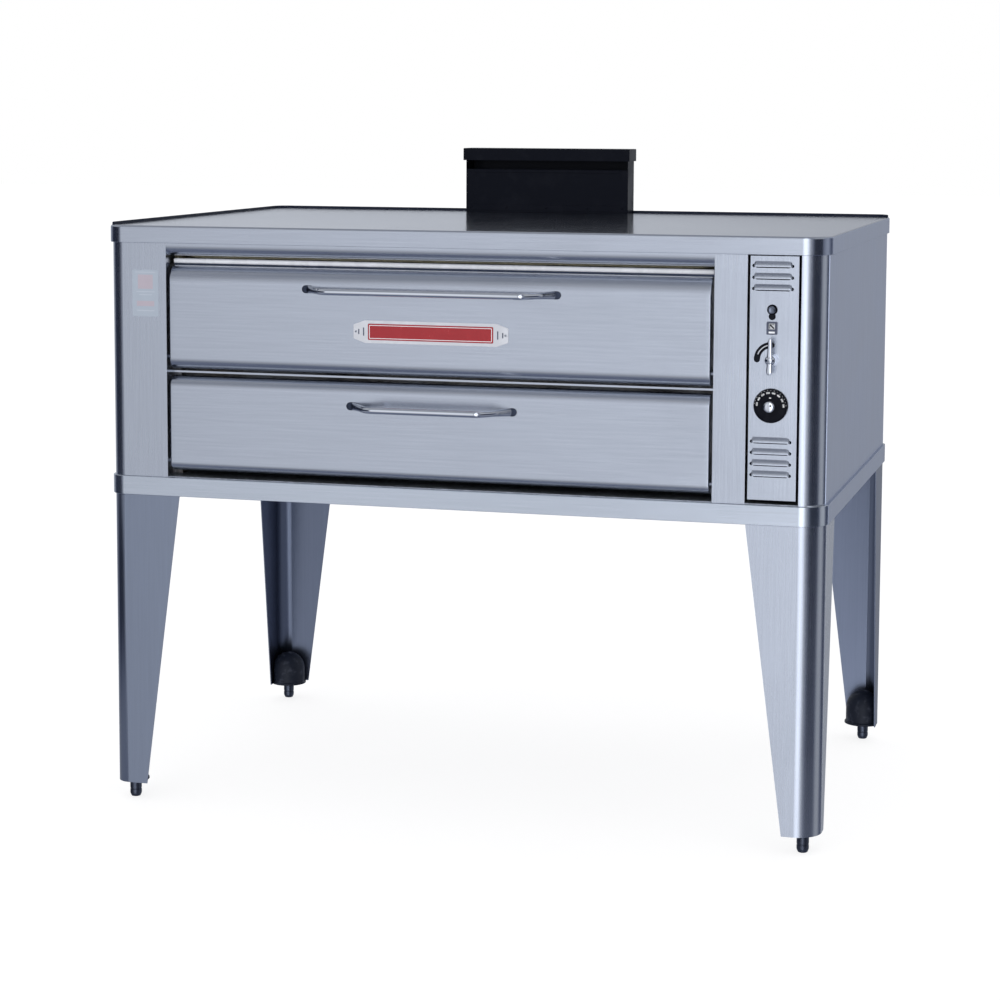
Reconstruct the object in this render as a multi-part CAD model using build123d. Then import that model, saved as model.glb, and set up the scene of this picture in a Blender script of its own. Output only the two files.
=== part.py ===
from build123d import *
import os
from math import asin, cos, pi, radians, sin

# Gas deck pizza oven: one section with two drop-down doors on a four-leg stand.
# +X is the right-hand side seen from the front, +Y runs to the back, +Z is up.
# The origin is on the floor under the middle of the whole object's box.

# --- Driving dimensions, millimetres -------------------------------------------------
BODY_WIDTH = 1524.0
BODY_DEPTH = 1012.0
BODY_CORNER_RADIUS = 32.0
MIN_CORNER_RADIUS = 2.0  # of an outline shrunk past the corner's radius
RIM_OVERHANG = 5.0  # how far the top cap and the stand rails stand out past the body
SHEET = 2.0  # body sheet metal
THIN_SHEET = 1.5
CLEARANCE = 0.3  # between pieces that nest
RUNNING_GAP = 0.05  # all round a pin or shaft in its bore
CUT = 1.0  # how far a cutter reaches past what it cuts

RAIL_TOP = 708.0
RAIL_HEIGHT = 40.0
RAIL_SHEET = 3.0
RAIL_SHELF = 60.0
CORNER_RETURN = 40.0  # how far a front or rear rail runs along the side

LEG_BOTTOM = 38.0
LEG_SHEET = 2.5
LEG_WIDTH_TOP = 156.5
LEG_WIDTH_BOTTOM = 75.0
LEG_PLATE = 4.0
LEG_PLATE_SIDE = 120.0
LEG_BOLT_RADIUS = 5.0
LEG_BOLT_HEAD_RADIUS = 9.0
LEG_BOLT_HEAD_HEIGHT = 6.0
LEG_BOLT_FAR = 96.0  # the bolts' two distances from the leg's outer faces
LEG_BOLT_NEAR = 37.2

FOOT_INSET = 34.0  # from the leg's outer faces to the foot's axis
FOOT_RADIUS = 12.5
FOOT_TIP_RADIUS = 10.0
FOOT_TIP_HEIGHT = 6.0
FOOT_GAP = 1.0  # between the foot's shoulder and the leg
STUD_RADIUS = 8.0
STUD_TOP = 86.0
STUD_HEADROOM = 4.0
SOCKET_RADIUS = 40.0
SOCKET_STRAIGHT = 40.0
SOCKET_RIM = 3.0
SOCKET_RIM_HEIGHT = 5.0

CAP_TOP = 1241.5
CAP_SKIRT = 36.5
CAP_BEND_RADIUS = 5.0

OPENING_LEFT = -631.0
OPENING_RIGHT = 539.0
STILE_RIGHT_END = 605.0
PANEL_LEFT = 610.0
PANEL_RIGHT = 707.0
PANEL_BOTTOM = 718.0
PANEL_TOP = 1203.0
CORNER_POST_START = 712.0
CORNER_POST_DEPTH = 36.0
JAMB_DEPTH = 50.0
FLANGE_DEPTH = 18.0

HEADER_BEND_START = 1202.0
HEADER_BEND_RADIUS = 24.0

DOOR_SIDE_GAP = 6.0
UPPER_DOOR_THICKNESS = 50.0
UPPER_DOOR_BOTTOM = 939.0
UPPER_DOOR_CURVE_START = 1118.0
UPPER_DOOR_TOP = 1158.0
UPPER_DOOR_TOP_RADIUS = 44.0
LOWER_DOOR_THICKNESS = 40.0
LOWER_DOOR_BOTTOM = 722.5
LOWER_DOOR_CURVE_START = 898.0
LOWER_DOOR_TOP = 924.0
LOWER_DOOR_TOP_RADIUS = 26.0
DOOR_LINER_MARGIN = 12.0
DOOR_LINER_DEPTH = 16.0
BEAD_RADIUS = 5.25
BEAD_DEPTH = 32.0
BEAD_HEIGHT = 8.7  # bead axis above the door's top
DIVIDER_BOTTOM = 930.5
DIVIDER_THICKNESS = 4.0
DIVIDER_DEPTH = 22.0

PIN_RADIUS = 5.0
PIN_END = 52.0  # how far a hinge pin reaches past the door's end
BUSHING_RADIUS = 9.0
BUSHING_LENGTH = 10.0
SPRING_WIRE = 1.2
SPRING_RADIUS = 9.0
SPRING_PITCH = 3.4
SPRING_TURNS = 8
SPRING_GAP = 4.0  # between a spring and its bushing

HANDLE_RADIUS = 7.0
HANDLE_REACH = 58.0  # door face to the bar's axis
HANDLE_SLOPE = 50.0
HANDLE_BEND = 26.0
HANDLE_OVERRUN = 1 / 6  # of the slope, by which the bar's line runs on behind the door's face
HANDLE_PAD = 3.0
HANDLE_PAD_LENGTH = 25.2
HANDLE_PAD_WIDTH = 16.8
UPPER_HANDLE_ENDS = (-314.0, 214.0)
UPPER_HANDLE_HEIGHT = 1115.0
LOWER_HANDLE_ENDS = (-217.5, 123.0)
LOWER_HANDLE_HEIGHT = 874.5

NAMEPLATE_CENTRE = (-48.5, 1030.5)
NAMEPLATE_SIZE = (331.0, 47.0)
NAMEPLATE_CHAMFER = 9.0
NAMEPLATE_SHEET = 1.6
FIELD_SIZE = (271.0, 33.5)
FIELD_HEIGHT = 0.8

LABEL_CENTRE = (-678.0, 1098.5)
LABEL_SIZE = (60.0, 99.0)
LABEL_SHEET = 0.4

CONTROL_X = 655.0
DIAL_HEIGHT = 907.0
DIAL_RADIUS = 34.0
DIAL_GAP = 4.0
DIAL_THICKNESS = 7.0
DIAL_EDGE_RADIUS = 3.0
KNOB_RADIUS = 12.0
KNOB_LENGTH = 17.0
KNOB_EDGE_RADIUS = 2.5
SHAFT_RADIUS = 3.0
SHAFT_END = 22.0  # depth at which the dial's shaft and the valve's stem end
LEVER_HEIGHT = 998.5
LEVER_UP = 43.5
LEVER_DOWN = 28.5
LEVER_WIDTH = 8.0
LEVER_THICKNESS = 6.0
LEVER_STAND = 20.0
LEVER_HUB_RADIUS = 7.0
LEVER_HUB_GAP = 2.0
LEVER_HUB_RISE = 1.0
STEM_RADIUS = 4.0
VALVE_NUT_RADIUS = 13.5
VALVE_NUT_LENGTH = 7.0
VALVE_NECK_RADIUS = 9.0
QUADRANT_RADIUS = 29.0
QUADRANT_WIDTH = 12.0
QUADRANT_SHEET = 3.0
BUTTON_HEIGHT = 1097.0
BUTTON_RADIUS = 7.5
BUTTON_FACE = 12.0  # how far the button's face stands out of the panel
BUTTON_LENGTH = 5.5
BUTTON_EDGE_RADIUS = 1.5
BUTTON_STEM_RADIUS = 3.0
BUTTON_STEM_END = 14.0
ESCUTCHEON_RADIUS = 10.5
ESCUTCHEON_LOBE_DROP = 13.3
ESCUTCHEON_LOBE_RADIUS = 7.0
ESCUTCHEON_SHEET = 1.5
ESCUTCHEON_BOSS_RADIUS = 5.0
ESCUTCHEON_BOSS_RISE = 2.0
WINDOW_CENTRE_HEIGHT = 1060.75
WINDOW_SIZE = (21.5, 25.5)
WINDOW_PANE = (13.0, 12.0)
WINDOW_PANE_RISE = 3.5
WINDOW_STAND = 4.0
WINDOW_CORNER_RADIUS = 1.5
WINDOW_RECESS = 1.0

LOUVRE_WIDTH = 79.0
LOUVRE_HEIGHT = 12.0
LOUVRE_REACH = 6.0
LOUVRE_SHEET = 1.2
LOUVRE_MOUTH = 0.55  # of the louvre's radius, below its middle, where the slot begins
LOUVRE_ROOT = 0.5  # how deep a louvre's hood reaches into the panel
LOUVRE_CENTRE_X = 655.5
LOUVRE_HEIGHTS = (1186.7, 1163.6, 1141.4, 838.6, 816.2, 793.8, 771.6)

CHAMBER_LEFT = -620.0
CHAMBER_RIGHT = 528.0
CHAMBER_FRONT = 56.0
CHAMBER_BACK = 948.0
CHAMBER_CEILING = 1162.0
CHAMBER_FLANGE = 20.0
FLUE_HOLE_INSET = 40.0  # of the hole in the ceiling, from the hood's sides
FLUE_HOLE_DEPTHS = (40.0, 8.0)  # before the chamber's rear wall
HEARTH_TOP = 984.0
HEARTH_THICKNESS = 38.0
HEARTH_SLABS = 3
HEARTH_JOINT = 2.0
HEARTH_FRONT_GAP = 6.0
HEARTH_CHAMFER = 2.0
SUPPORT_SIZE = 30.0
SUPPORT_DEPTHS = (70.0, 480.0, 900.0)
SUPPORT_SHEET = 3.0
BAFFLE_HEIGHT = 880.0
BAFFLE_INSET = 40.0
BAFFLE_DROP = 20.0
BURNER_HEIGHT = 800.0
BURNER_RADIUS = 24.0
BURNER_FRONT = 140.0
BURNERS = 3
BURNER_PORTS = 14
PORTS_FROM_MOUTH = 70.0
PORTS_SPARE_LENGTH = 120.0  # of the tube, without ports
PORT_WIDTH = 3.0
PORT_REACH = 0.6  # of the tube's radius, half across and up from its axis
MANIFOLD_DEPTH = 100.0
MANIFOLD_OVERRUN = 40.0
PIPE_RADIUS = 13.35
PIPE_WALL = 3.0
PIPE_HOLE_GAP = 2.0
LOCKNUT_RADIUS = 21.0
LOCKNUT_LENGTH = 6.0
SPUD_RADIUS = 6.0
SPUD_INSERTION = 4.0
SPUD_HOLE_DEPTH = 6.0
SUPPLY_HEIGHT = 1090.0
PILOT_OFFSET = 14.0  # from the right-hand burner's side
PILOT_RISE = 20.0  # above the burners' axes
PILOT_DEPTH = 180.0
PILOT_TUBE_RADIUS = 4.0
PILOT_HOOD_RADIUS = 8.0
PILOT_HOOD_ENDS = (12.0, 16.0)  # below and above the tube
PARTITION_X = 604.0
CONTROL_BODY_BACK = 122.0
VALVE_HALF_SIZE = 20.0
VALVE_FRONT = 30.0
VALVE_BORE_END = 25.0
THERMOSTAT_HALF_WIDTH = 30.0
THERMOSTAT_HALF_HEIGHT = 35.0
THERMOSTAT_FRONT = 12.0
THERMOSTAT_BORE_END = 26.0
BATT_GAP = 1.0
BATT_REAR_GAP = 4.0
BATT_FLUE_GAP = 60.0

HOOD_LEFT = -251.0
HOOD_RIGHT = 150.0
HOOD_FRONT = 944.0
HOOD_BACK = 1009.0
HOOD_FRONT_TOP = 1345.0
LID_BOTTOM = 1366.0
LID_TOP = 1395.0
LID_OVERHANG = 5.0
LID_FRONT_OVERHANG = 8.0
LID_EDGE_RADIUS = 2.0
FLUE_SIDE_INSET = 20.0
FLUE_END_INSET = 12.0

# --- Places worked out from the driving dimensions --------------------------------------
HALF_WIDTH = BODY_WIDTH / 2
RAIL_BOTTOM = RAIL_TOP - RAIL_HEIGHT
CAP_BOTTOM = CAP_TOP - CAP_SKIRT
CAP_INSIDE = CAP_TOP - SHEET
FRONT_REACH = HANDLE_REACH + HANDLE_RADIUS
REAR_REACH = 45.0  # gas inlet stub behind the back panel
FRONT_Y = -(BODY_DEPTH + REAR_REACH - FRONT_REACH) / 2
DOOR_LEFT = OPENING_LEFT + DOOR_SIDE_GAP
DOOR_RIGHT = OPENING_RIGHT - DOOR_SIDE_GAP
UPPER_PIN_HEIGHT = UPPER_DOOR_BOTTOM + UPPER_DOOR_THICKNESS / 2
LOWER_PIN_HEIGHT = LOWER_DOOR_BOTTOM + LOWER_DOOR_THICKNESS / 2
UPPER_PIN_DEPTH = UPPER_DOOR_THICKNESS / 2
LOWER_PIN_DEPTH = LOWER_DOOR_THICKNESS / 2
PIN_AXES = ((UPPER_PIN_DEPTH, UPPER_PIN_HEIGHT), (LOWER_PIN_DEPTH, LOWER_PIN_HEIGHT))
FLOOR_OF_BODY = RAIL_TOP + SHEET + CLEARANCE


# --- Helpers -----------------------------------------------------------------------------
# Depths are measured back from the plane of the body's front face.
def block(left, right, near, far, bottom, top):
    centre = ((left + right) / 2, FRONT_Y + (near + far) / 2, (bottom + top) / 2)
    return Pos(*centre) * Box(right - left, far - near, top - bottom)


def rod_x(left, right, depth, height, radius):
    centre = ((left + right) / 2, FRONT_Y + depth, height)
    return Pos(*centre) * Rot(0, 90, 0) * Cylinder(radius, right - left)


def rod_y(x, near, far, height, radius):
    centre = (x, FRONT_Y + (near + far) / 2, height)
    return Pos(*centre) * Rot(90, 0, 0) * Cylinder(radius, far - near)


def rod_z(x, depth, bottom, top, radius):
    centre = (x, FRONT_Y + depth, (bottom + top) / 2)
    return Pos(*centre) * Cylinder(radius, top - bottom)


def footprint(grow, bottom, top):
    """A slab with the body's rounded outline, grown or shrunk evenly all round."""
    size_x = BODY_WIDTH + 2 * grow
    size_y = BODY_DEPTH + 2 * grow
    outline = RectangleRounded(size_x, size_y, max(BODY_CORNER_RADIUS + grow, MIN_CORNER_RADIUS))
    return extrude(Pos(0, FRONT_Y + BODY_DEPTH / 2, bottom) * outline, top - bottom)


def skin(grow, sheet, bottom, top):
    """A vertical wall of sheet along the body's rounded outline."""
    inner = footprint(grow - sheet, bottom - CUT, top + CUT)
    return footprint(grow, bottom, top) - inner


def along_x(section, left, right):
    """Extrude a section drawn as (depth, height) from left to right."""
    placed = Pos(left, FRONT_Y, 0) * (Plane.YZ * section)
    return extrude(placed, amount=right - left, dir=(1, 0, 0))


def plate_on_front(outline, x, height, near, far):
    """Extrude an outline drawn as (x, height) from one depth to another."""
    placed = Pos(x, FRONT_Y + far, height) * (Plane.XZ * outline)
    return extrude(placed, amount=far - near, dir=(0, -1, 0))


def group(solids):
    return Compound(children=list(solids))


def save(name, shape):
    shape.label = name
    export_step(shape, f"parts/{name}.step")


# --- Stand ---------------------------------------------------------------------------------
def stand_rails():
    web = skin(RIM_OVERHANG, RAIL_SHEET, RAIL_BOTTOM, RAIL_TOP)
    shelf = skin(RIM_OVERHANG, RAIL_SHELF, RAIL_TOP - RAIL_SHEET, RAIL_TOP)
    ring = web + shelf
    end = BODY_DEPTH - CORNER_RETURN
    zones = {
        "stand_rail_front": (-BODY_WIDTH, BODY_WIDTH, -RAIL_SHELF, CORNER_RETURN),
        "stand_rail_rear": (-BODY_WIDTH, BODY_WIDTH, end, BODY_DEPTH + RAIL_SHELF),
        "stand_rail_left": (-BODY_WIDTH, 0, CORNER_RETURN, end),
        "stand_rail_right": (0, BODY_WIDTH, CORNER_RETURN, end),
    }
    return {name: ring & block(*zone, RAIL_BOTTOM, RAIL_TOP) for name, zone in zones.items()}


def leg(side_x, side_y):
    """An L of sheet with a rounded corner and tapered flanges, under a bolted top plate."""
    top = RAIL_TOP - RAIL_SHEET
    reach = BODY_CORNER_RADIUS + LEG_SHEET
    widths = ((LEG_BOTTOM, LEG_WIDTH_BOTTOM), (RAIL_BOTTOM, LEG_WIDTH_TOP), (top, LEG_WIDTH_TOP))
    outline = [(0, LEG_BOTTOM)] + [(width, height) for height, width in widths] + [(0, top)]
    taper = make_face(Polyline(*outline, close=True))
    front_flange = extrude(Plane.XZ * taper, amount=reach, dir=(0, 1, 0))
    side_flange = extrude(Plane.YZ * taper, amount=reach, dir=(1, 0, 0))
    flanges = Pos(-HALF_WIDTH, FRONT_Y, 0) * (front_flange + side_flange)
    shell = skin(0, LEG_SHEET, LEG_BOTTOM, top)
    plate = footprint(-LEG_SHEET, top - LEG_PLATE, top)
    plate_zone = (-HALF_WIDTH, LEG_PLATE_SIDE - HALF_WIDTH, 0, LEG_PLATE_SIDE)
    plate = plate & block(*plate_zone, RAIL_BOTTOM, RAIL_TOP)
    shape = (flanges & shell) + plate
    for x, depth in bolt_places():
        shape -= rod_z(x, depth, RAIL_BOTTOM, RAIL_TOP, LEG_BOLT_RADIUS)
    return to_corner(shape, side_x, side_y)


def bolt_places():
    """Bolt axes of the front left leg: through its top plate and the rails' shelf."""
    first = (LEG_BOLT_NEAR - HALF_WIDTH, LEG_BOLT_FAR)
    second = (LEG_BOLT_FAR - HALF_WIDTH, LEG_BOLT_NEAR)
    return first, second


def to_corner(shape, side_x, side_y):
    """Mirror a piece of the front left leg to another corner."""
    if side_x > 0:
        shape = mirror(shape, about=Plane.YZ)
    if side_y > 0:
        shape = mirror(shape, about=Plane.XZ.offset(-(FRONT_Y + BODY_DEPTH / 2)))
    return shape


def leg_bolt(x, depth):
    plate_bottom = RAIL_TOP - RAIL_SHEET - LEG_PLATE
    hexagon = RegularPolygon(LEG_BOLT_HEAD_RADIUS, 6)
    head_bottom = plate_bottom - LEG_BOLT_HEAD_HEIGHT
    head = extrude(Pos(x, FRONT_Y + depth, head_bottom) * hexagon, LEG_BOLT_HEAD_HEIGHT)
    return head + rod_z(x, depth, head_bottom, RAIL_TOP - RAIL_SHEET, LEG_BOLT_RADIUS)


def foot_socket():
    """A cast cup with a domed top, nested in the bottom of the front left leg."""
    x = FOOT_INSET - HALF_WIDTH
    dome_height = LEG_BOTTOM + SOCKET_STRAIGHT
    cup = rod_z(x, FOOT_INSET, LEG_BOTTOM, dome_height, SOCKET_RADIUS)
    cup += Pos(x, FRONT_Y + FOOT_INSET, dome_height) * Sphere(SOCKET_RADIUS)
    rim_top = LEG_BOTTOM + SOCKET_RIM_HEIGHT
    rim = rod_z(x, FOOT_INSET, LEG_BOTTOM, rim_top, SOCKET_RADIUS + SOCKET_RIM)
    cup = (cup + rim) & footprint(-LEG_SHEET - CLEARANCE, LEG_BOTTOM, CAP_TOP)
    bore_top = STUD_TOP + STUD_HEADROOM
    return cup - rod_z(x, FOOT_INSET, 0, bore_top, STUD_RADIUS + RUNNING_GAP)


def levelling_foot():
    """A turned foot with a tapered tip, and the stud that screws it into its socket."""
    x = FOOT_INSET - HALF_WIDTH
    tip = Pos(x, FRONT_Y + FOOT_INSET, FOOT_TIP_HEIGHT / 2) * Cone(
        FOOT_TIP_RADIUS, FOOT_RADIUS, FOOT_TIP_HEIGHT
    )
    shoulder = LEG_BOTTOM - FOOT_GAP
    barrel = rod_z(x, FOOT_INSET, FOOT_TIP_HEIGHT, shoulder, FOOT_RADIUS)
    stud = rod_z(x, FOOT_INSET, FOOT_TIP_HEIGHT, STUD_TOP, STUD_RADIUS)
    return tip + barrel + stud


def make_stand():
    for name, rail in stand_rails().items():
        save(name, rail)
    corners = {
        "front_left": (-1, -1),
        "front_right": (1, -1),
        "rear_left": (-1, 1),
        "rear_right": (1, 1),
    }
    for name, sides in corners.items():
        save(f"leg_{name}", leg(*sides))
        save(f"levelling_foot_{name}", to_corner(levelling_foot(), *sides))
    bolts = []
    for sides in corners.values():
        bolts += [to_corner(leg_bolt(*place), *sides) for place in bolt_places()]
    save("leg_bolts", group(bolts))
    save("foot_sockets", group(to_corner(foot_socket(), *sides) for sides in corners.values()))


# --- Body shell ------------------------------------------------------------------------------
def side_panels():
    walls = skin(0, SHEET, RAIL_TOP, CAP_INSIDE)
    near_side = HALF_WIDTH - CORNER_RETURN
    zone = (CORNER_POST_DEPTH, BODY_DEPTH + CUT, RAIL_TOP, CAP_TOP)
    left = walls & block(-BODY_WIDTH, -near_side, *zone)
    right = walls & block(near_side, BODY_WIDTH, *zone)
    return left, right


def back_panel():
    near_side = HALF_WIDTH - CORNER_RETURN
    back = BODY_DEPTH - SHEET
    panel = block(-near_side, near_side, back, BODY_DEPTH, RAIL_TOP, CAP_INSIDE)
    hole_radius = PIPE_RADIUS + PIPE_HOLE_GAP
    return panel - rod_y(CONTROL_X, back - CUT, BODY_DEPTH + CUT, SUPPLY_HEIGHT, hole_radius)


def pin_holes(left, right):
    holes = rod_x(left, right, *PIN_AXES[0], PIN_RADIUS + CLEARANCE)
    return holes + rod_x(left, right, *PIN_AXES[1], PIN_RADIUS + CLEARANCE)


def front_stile_left():
    """The left stile wraps the front corner and turns in beside the doors."""
    walls = skin(0, SHEET, RAIL_TOP, CAP_INSIDE)
    zone = (-BODY_WIDTH, OPENING_LEFT, -CUT, CORNER_POST_DEPTH, RAIL_TOP, CAP_TOP)
    jamb = block(OPENING_LEFT - SHEET, OPENING_LEFT, 0, JAMB_DEPTH, FLOOR_OF_BODY, CAP_INSIDE)
    return (walls & block(*zone)) + jamb - pin_holes(OPENING_LEFT - SHEET - CUT, OPENING_LEFT + CUT)


def front_stile_right():
    """The stile between the doors and the controls, flanged back on both sides."""
    face = block(OPENING_RIGHT, STILE_RIGHT_END, 0, SHEET, RAIL_TOP, CAP_INSIDE)
    jamb = block(OPENING_RIGHT, OPENING_RIGHT + SHEET, 0, JAMB_DEPTH, FLOOR_OF_BODY, CAP_INSIDE)
    flange_left = STILE_RIGHT_END - SHEET
    flange = block(flange_left, STILE_RIGHT_END, 0, FLANGE_DEPTH, FLOOR_OF_BODY, CAP_INSIDE)
    return face + jamb + flange - pin_holes(OPENING_RIGHT - CUT, OPENING_RIGHT + SHEET + CUT)


def corner_post_right():
    """The rounded right-hand corner, from the controls round to the side panel."""
    walls = skin(0, SHEET, RAIL_TOP, CAP_INSIDE)
    zone = (CORNER_POST_START, BODY_WIDTH, -CUT, CORNER_POST_DEPTH, RAIL_TOP, CAP_TOP)
    flange_right = CORNER_POST_START + SHEET
    flange = block(CORNER_POST_START, flange_right, 0, FLANGE_DEPTH, FLOOR_OF_BODY, CAP_INSIDE)
    return (walls & block(*zone)) + flange


def front_header():
    """A fascia over the doors whose lower edge rolls inwards."""
    radius = HEADER_BEND_RADIUS
    inner = radius - SHEET
    bottom = HEADER_BEND_START - radius
    centre = (radius, HEADER_BEND_START)
    outer_mid = (centre[0] - radius * cos(pi / 4), centre[1] - radius * sin(pi / 4))
    inner_mid = (centre[0] - inner * cos(pi / 4), centre[1] - inner * sin(pi / 4))
    lip = bottom + SHEET
    outline = [
        Line((0, CAP_INSIDE), (0, HEADER_BEND_START)),
        ThreePointArc((0, HEADER_BEND_START), outer_mid, (radius, bottom)),
        Polyline((radius, bottom), (JAMB_DEPTH, bottom), (JAMB_DEPTH, lip), (radius, lip)),
        ThreePointArc((radius, lip), inner_mid, (SHEET, HEADER_BEND_START)),
        Polyline((SHEET, HEADER_BEND_START), (SHEET, CAP_INSIDE), (0, CAP_INSIDE)),
    ]
    return along_x(make_face(Curve() + outline), OPENING_LEFT, OPENING_RIGHT)


def door_divider():
    """The strip of frame between the two doors, with its edge set back from their faces."""
    top = DIVIDER_BOTTOM + DIVIDER_THICKNESS
    back = CHAMBER_FRONT - SHEET
    return block(OPENING_LEFT, OPENING_RIGHT, DIVIDER_DEPTH, back, DIVIDER_BOTTOM, top)


def top_cap():
    """The lid of the body, with a skirt all round and the flue's way out at the back."""
    outer = footprint(RIM_OVERHANG, CAP_BOTTOM, CAP_TOP)
    outer = fillet(outer.edges().group_by(Axis.Z)[-1], CAP_BEND_RADIUS)
    hollow = footprint(RIM_OVERHANG - SHEET, CAP_BOTTOM - CUT, CAP_INSIDE)
    return outer - hollow - flue_way(CAP_INSIDE - CUT, CAP_TOP + CUT)


def flue_way(bottom, top):
    """The rectangular way out of the oven under the draft hood."""
    near = HOOD_FRONT + FLUE_END_INSET
    far = HOOD_BACK - FLUE_END_INSET
    return block(HOOD_LEFT + FLUE_SIDE_INSET, HOOD_RIGHT - FLUE_SIDE_INSET, near, far, bottom, top)


def base_pan():
    return footprint(-SHEET - CLEARANCE, RAIL_TOP, RAIL_TOP + SHEET)


def make_body_shell():
    left, right = side_panels()
    save("side_panel_left", left)
    save("side_panel_right", right)
    save("back_panel", back_panel())
    save("front_stile_left", front_stile_left())
    save("front_stile_right", front_stile_right())
    save("corner_post_right", corner_post_right())
    save("front_header", front_header())
    save("door_divider", door_divider())
    save("top_cap", top_cap())
    save("base_pan", base_pan())
    label = Rectangle(*LABEL_SIZE)
    save("rating_label", plate_on_front(label, *LABEL_CENTRE, -LABEL_SHEET, 0))


# --- Draft hood ------------------------------------------------------------------------------
def draft_hood():
    """A tall duct over the flue way, lower in front so that room air can enter under the lid."""
    top = LID_TOP - THIN_SHEET
    outer = block(HOOD_LEFT, HOOD_RIGHT, HOOD_FRONT, HOOD_BACK, CAP_TOP, top)
    inset = THIN_SHEET
    sides = (HOOD_LEFT + inset, HOOD_RIGHT - inset, HOOD_FRONT + inset, HOOD_BACK - inset)
    duct = outer - block(*sides, CAP_TOP - CUT, top + CUT)
    slot = (HOOD_LEFT + inset, HOOD_RIGHT - inset, HOOD_FRONT - CUT, HOOD_FRONT + inset + CUT)
    return duct - block(*slot, HOOD_FRONT_TOP, top + CUT)


def draft_hood_lid():
    side = LID_OVERHANG
    front = HOOD_FRONT - LID_FRONT_OVERHANG
    back = HOOD_BACK + THIN_SHEET + CLEARANCE
    lid = block(HOOD_LEFT - side, HOOD_RIGHT + side, front, back, LID_BOTTOM, LID_TOP)
    lid = fillet(lid.edges().group_by(Axis.Z)[-1], LID_EDGE_RADIUS)
    sheet = THIN_SHEET
    sides = (HOOD_LEFT - side + sheet, HOOD_RIGHT + side - sheet, front + sheet, back - sheet)
    return lid - block(*sides, LID_BOTTOM - CUT, LID_TOP - sheet)


# --- Doors -------------------------------------------------------------------------------------
def door_section(thickness, bottom, curve_start, top, top_radius, inset):
    """The door's outline in (depth, height): round foot about the pin, curved-back top."""
    half = thickness / 2
    pin = bottom + half
    back = thickness - inset
    roof = top - inset
    radius = top_radius - inset
    turn = asin((roof - curve_start) / radius)
    crest = (top_radius - radius * cos(turn), roof)
    crest_mid = (top_radius - radius * cos(turn / 2), curve_start + radius * sin(turn / 2))
    outline = [
        Line((inset, pin), (inset, curve_start)),
        ThreePointArc((inset, curve_start), crest_mid, crest),
        Polyline(crest, (back, roof), (back, pin)),
        ThreePointArc((back, pin), (half, bottom + inset), (inset, pin)),
    ]
    return make_face(Curve() + outline)


def door_skin(*shape):
    """A pan of sheet with closed ends, open at the back for its liner."""
    thickness, bottom, _, top, _ = shape
    outer = along_x(door_section(*shape, 0), DOOR_LEFT, DOOR_RIGHT)
    inner = along_x(door_section(*shape, THIN_SHEET), DOOR_LEFT + THIN_SHEET, DOOR_RIGHT - THIN_SHEET)
    return outer - inner - block(*liner_zone(thickness, bottom, top, 0))


def liner_zone(thickness, bottom, top, shrink):
    """The rectangle in the door's back that the liner fills."""
    side = DOOR_LINER_MARGIN + shrink
    low = bottom + thickness / 2 + shrink
    high = top - DOOR_LINER_MARGIN - shrink
    near = thickness - THIN_SHEET - CUT
    return DOOR_LEFT + side, DOOR_RIGHT - side, near, thickness, low, high


def door_liner(*shape):
    """The inner pan of the door: a sheet with a raised panel that faces the oven."""
    thickness, bottom, _, top, _ = shape
    left, right, _, back, low, high = liner_zone(thickness, bottom, top, CLEARANCE)
    near = back - DOOR_LINER_DEPTH
    pan = block(left, right, near, back, low, high)
    sheet = THIN_SHEET
    hollow = (left + sheet, right - sheet, near - CUT, back - sheet)
    return pan - block(*hollow, low + sheet, high - sheet)


def top_bead():
    """The rolled edge that stands up from the upper door's top."""
    height = UPPER_DOOR_TOP + BEAD_HEIGHT
    roll = rod_x(DOOR_LEFT, DOOR_RIGHT, BEAD_DEPTH, height, BEAD_RADIUS)
    near = BEAD_DEPTH - SHEET / 2
    return roll + block(DOOR_LEFT, DOOR_RIGHT, near, near + SHEET, UPPER_DOOR_TOP - CUT, height)


def hinge_pins(depth, height):
    left = rod_x(DOOR_LEFT - PIN_END, DOOR_LEFT, depth, height, PIN_RADIUS)
    right = rod_x(DOOR_RIGHT, DOOR_RIGHT + PIN_END, depth, height, PIN_RADIUS)
    return group([left, right])


def handle(ends, height):
    """A round bar bent back to the door at both ends, on two small pads."""
    left, right = ends
    out = -HANDLE_REACH
    corners = [(left, 0), (left + HANDLE_SLOPE, out), (right - HANDLE_SLOPE, out), (right, 0)]
    overrun_x = HANDLE_SLOPE * HANDLE_OVERRUN
    overrun_depth = HANDLE_REACH * HANDLE_OVERRUN
    corners[0] = (left - overrun_x, overrun_depth)
    corners[-1] = (right + overrun_x, overrun_depth)
    points = [(x, FRONT_Y + depth, height) for x, depth in corners]
    path = FilletPolyline(*points, radius=HANDLE_BEND)
    start = Plane(origin=path @ 0, z_dir=path % 0)
    bar = sweep(start * Circle(HANDLE_RADIUS), path=path)
    around = 2 * HANDLE_RADIUS
    in_front = (left - HANDLE_SLOPE, right + HANDLE_SLOPE, -2 * HANDLE_REACH, 0)
    bar = bar & block(*in_front, height - around, height + around)
    pad = SlotOverall(HANDLE_PAD_LENGTH, HANDLE_PAD_WIDTH)
    for x in (left, right):
        bar += plate_on_front(pad, x, height, -HANDLE_PAD, 0)
    return bar


def nameplate():
    """A blank enamelled plate with cut corners; its field stands a little proud."""
    plate = chamfer(Rectangle(*NAMEPLATE_SIZE).vertices(), NAMEPLATE_CHAMFER)
    field = Rectangle(*FIELD_SIZE)
    top = NAMEPLATE_SHEET + FIELD_HEIGHT
    base = plate_on_front(plate, *NAMEPLATE_CENTRE, -NAMEPLATE_SHEET, 0)
    return base + plate_on_front(field, *NAMEPLATE_CENTRE, -top, -NAMEPLATE_SHEET)


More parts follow.
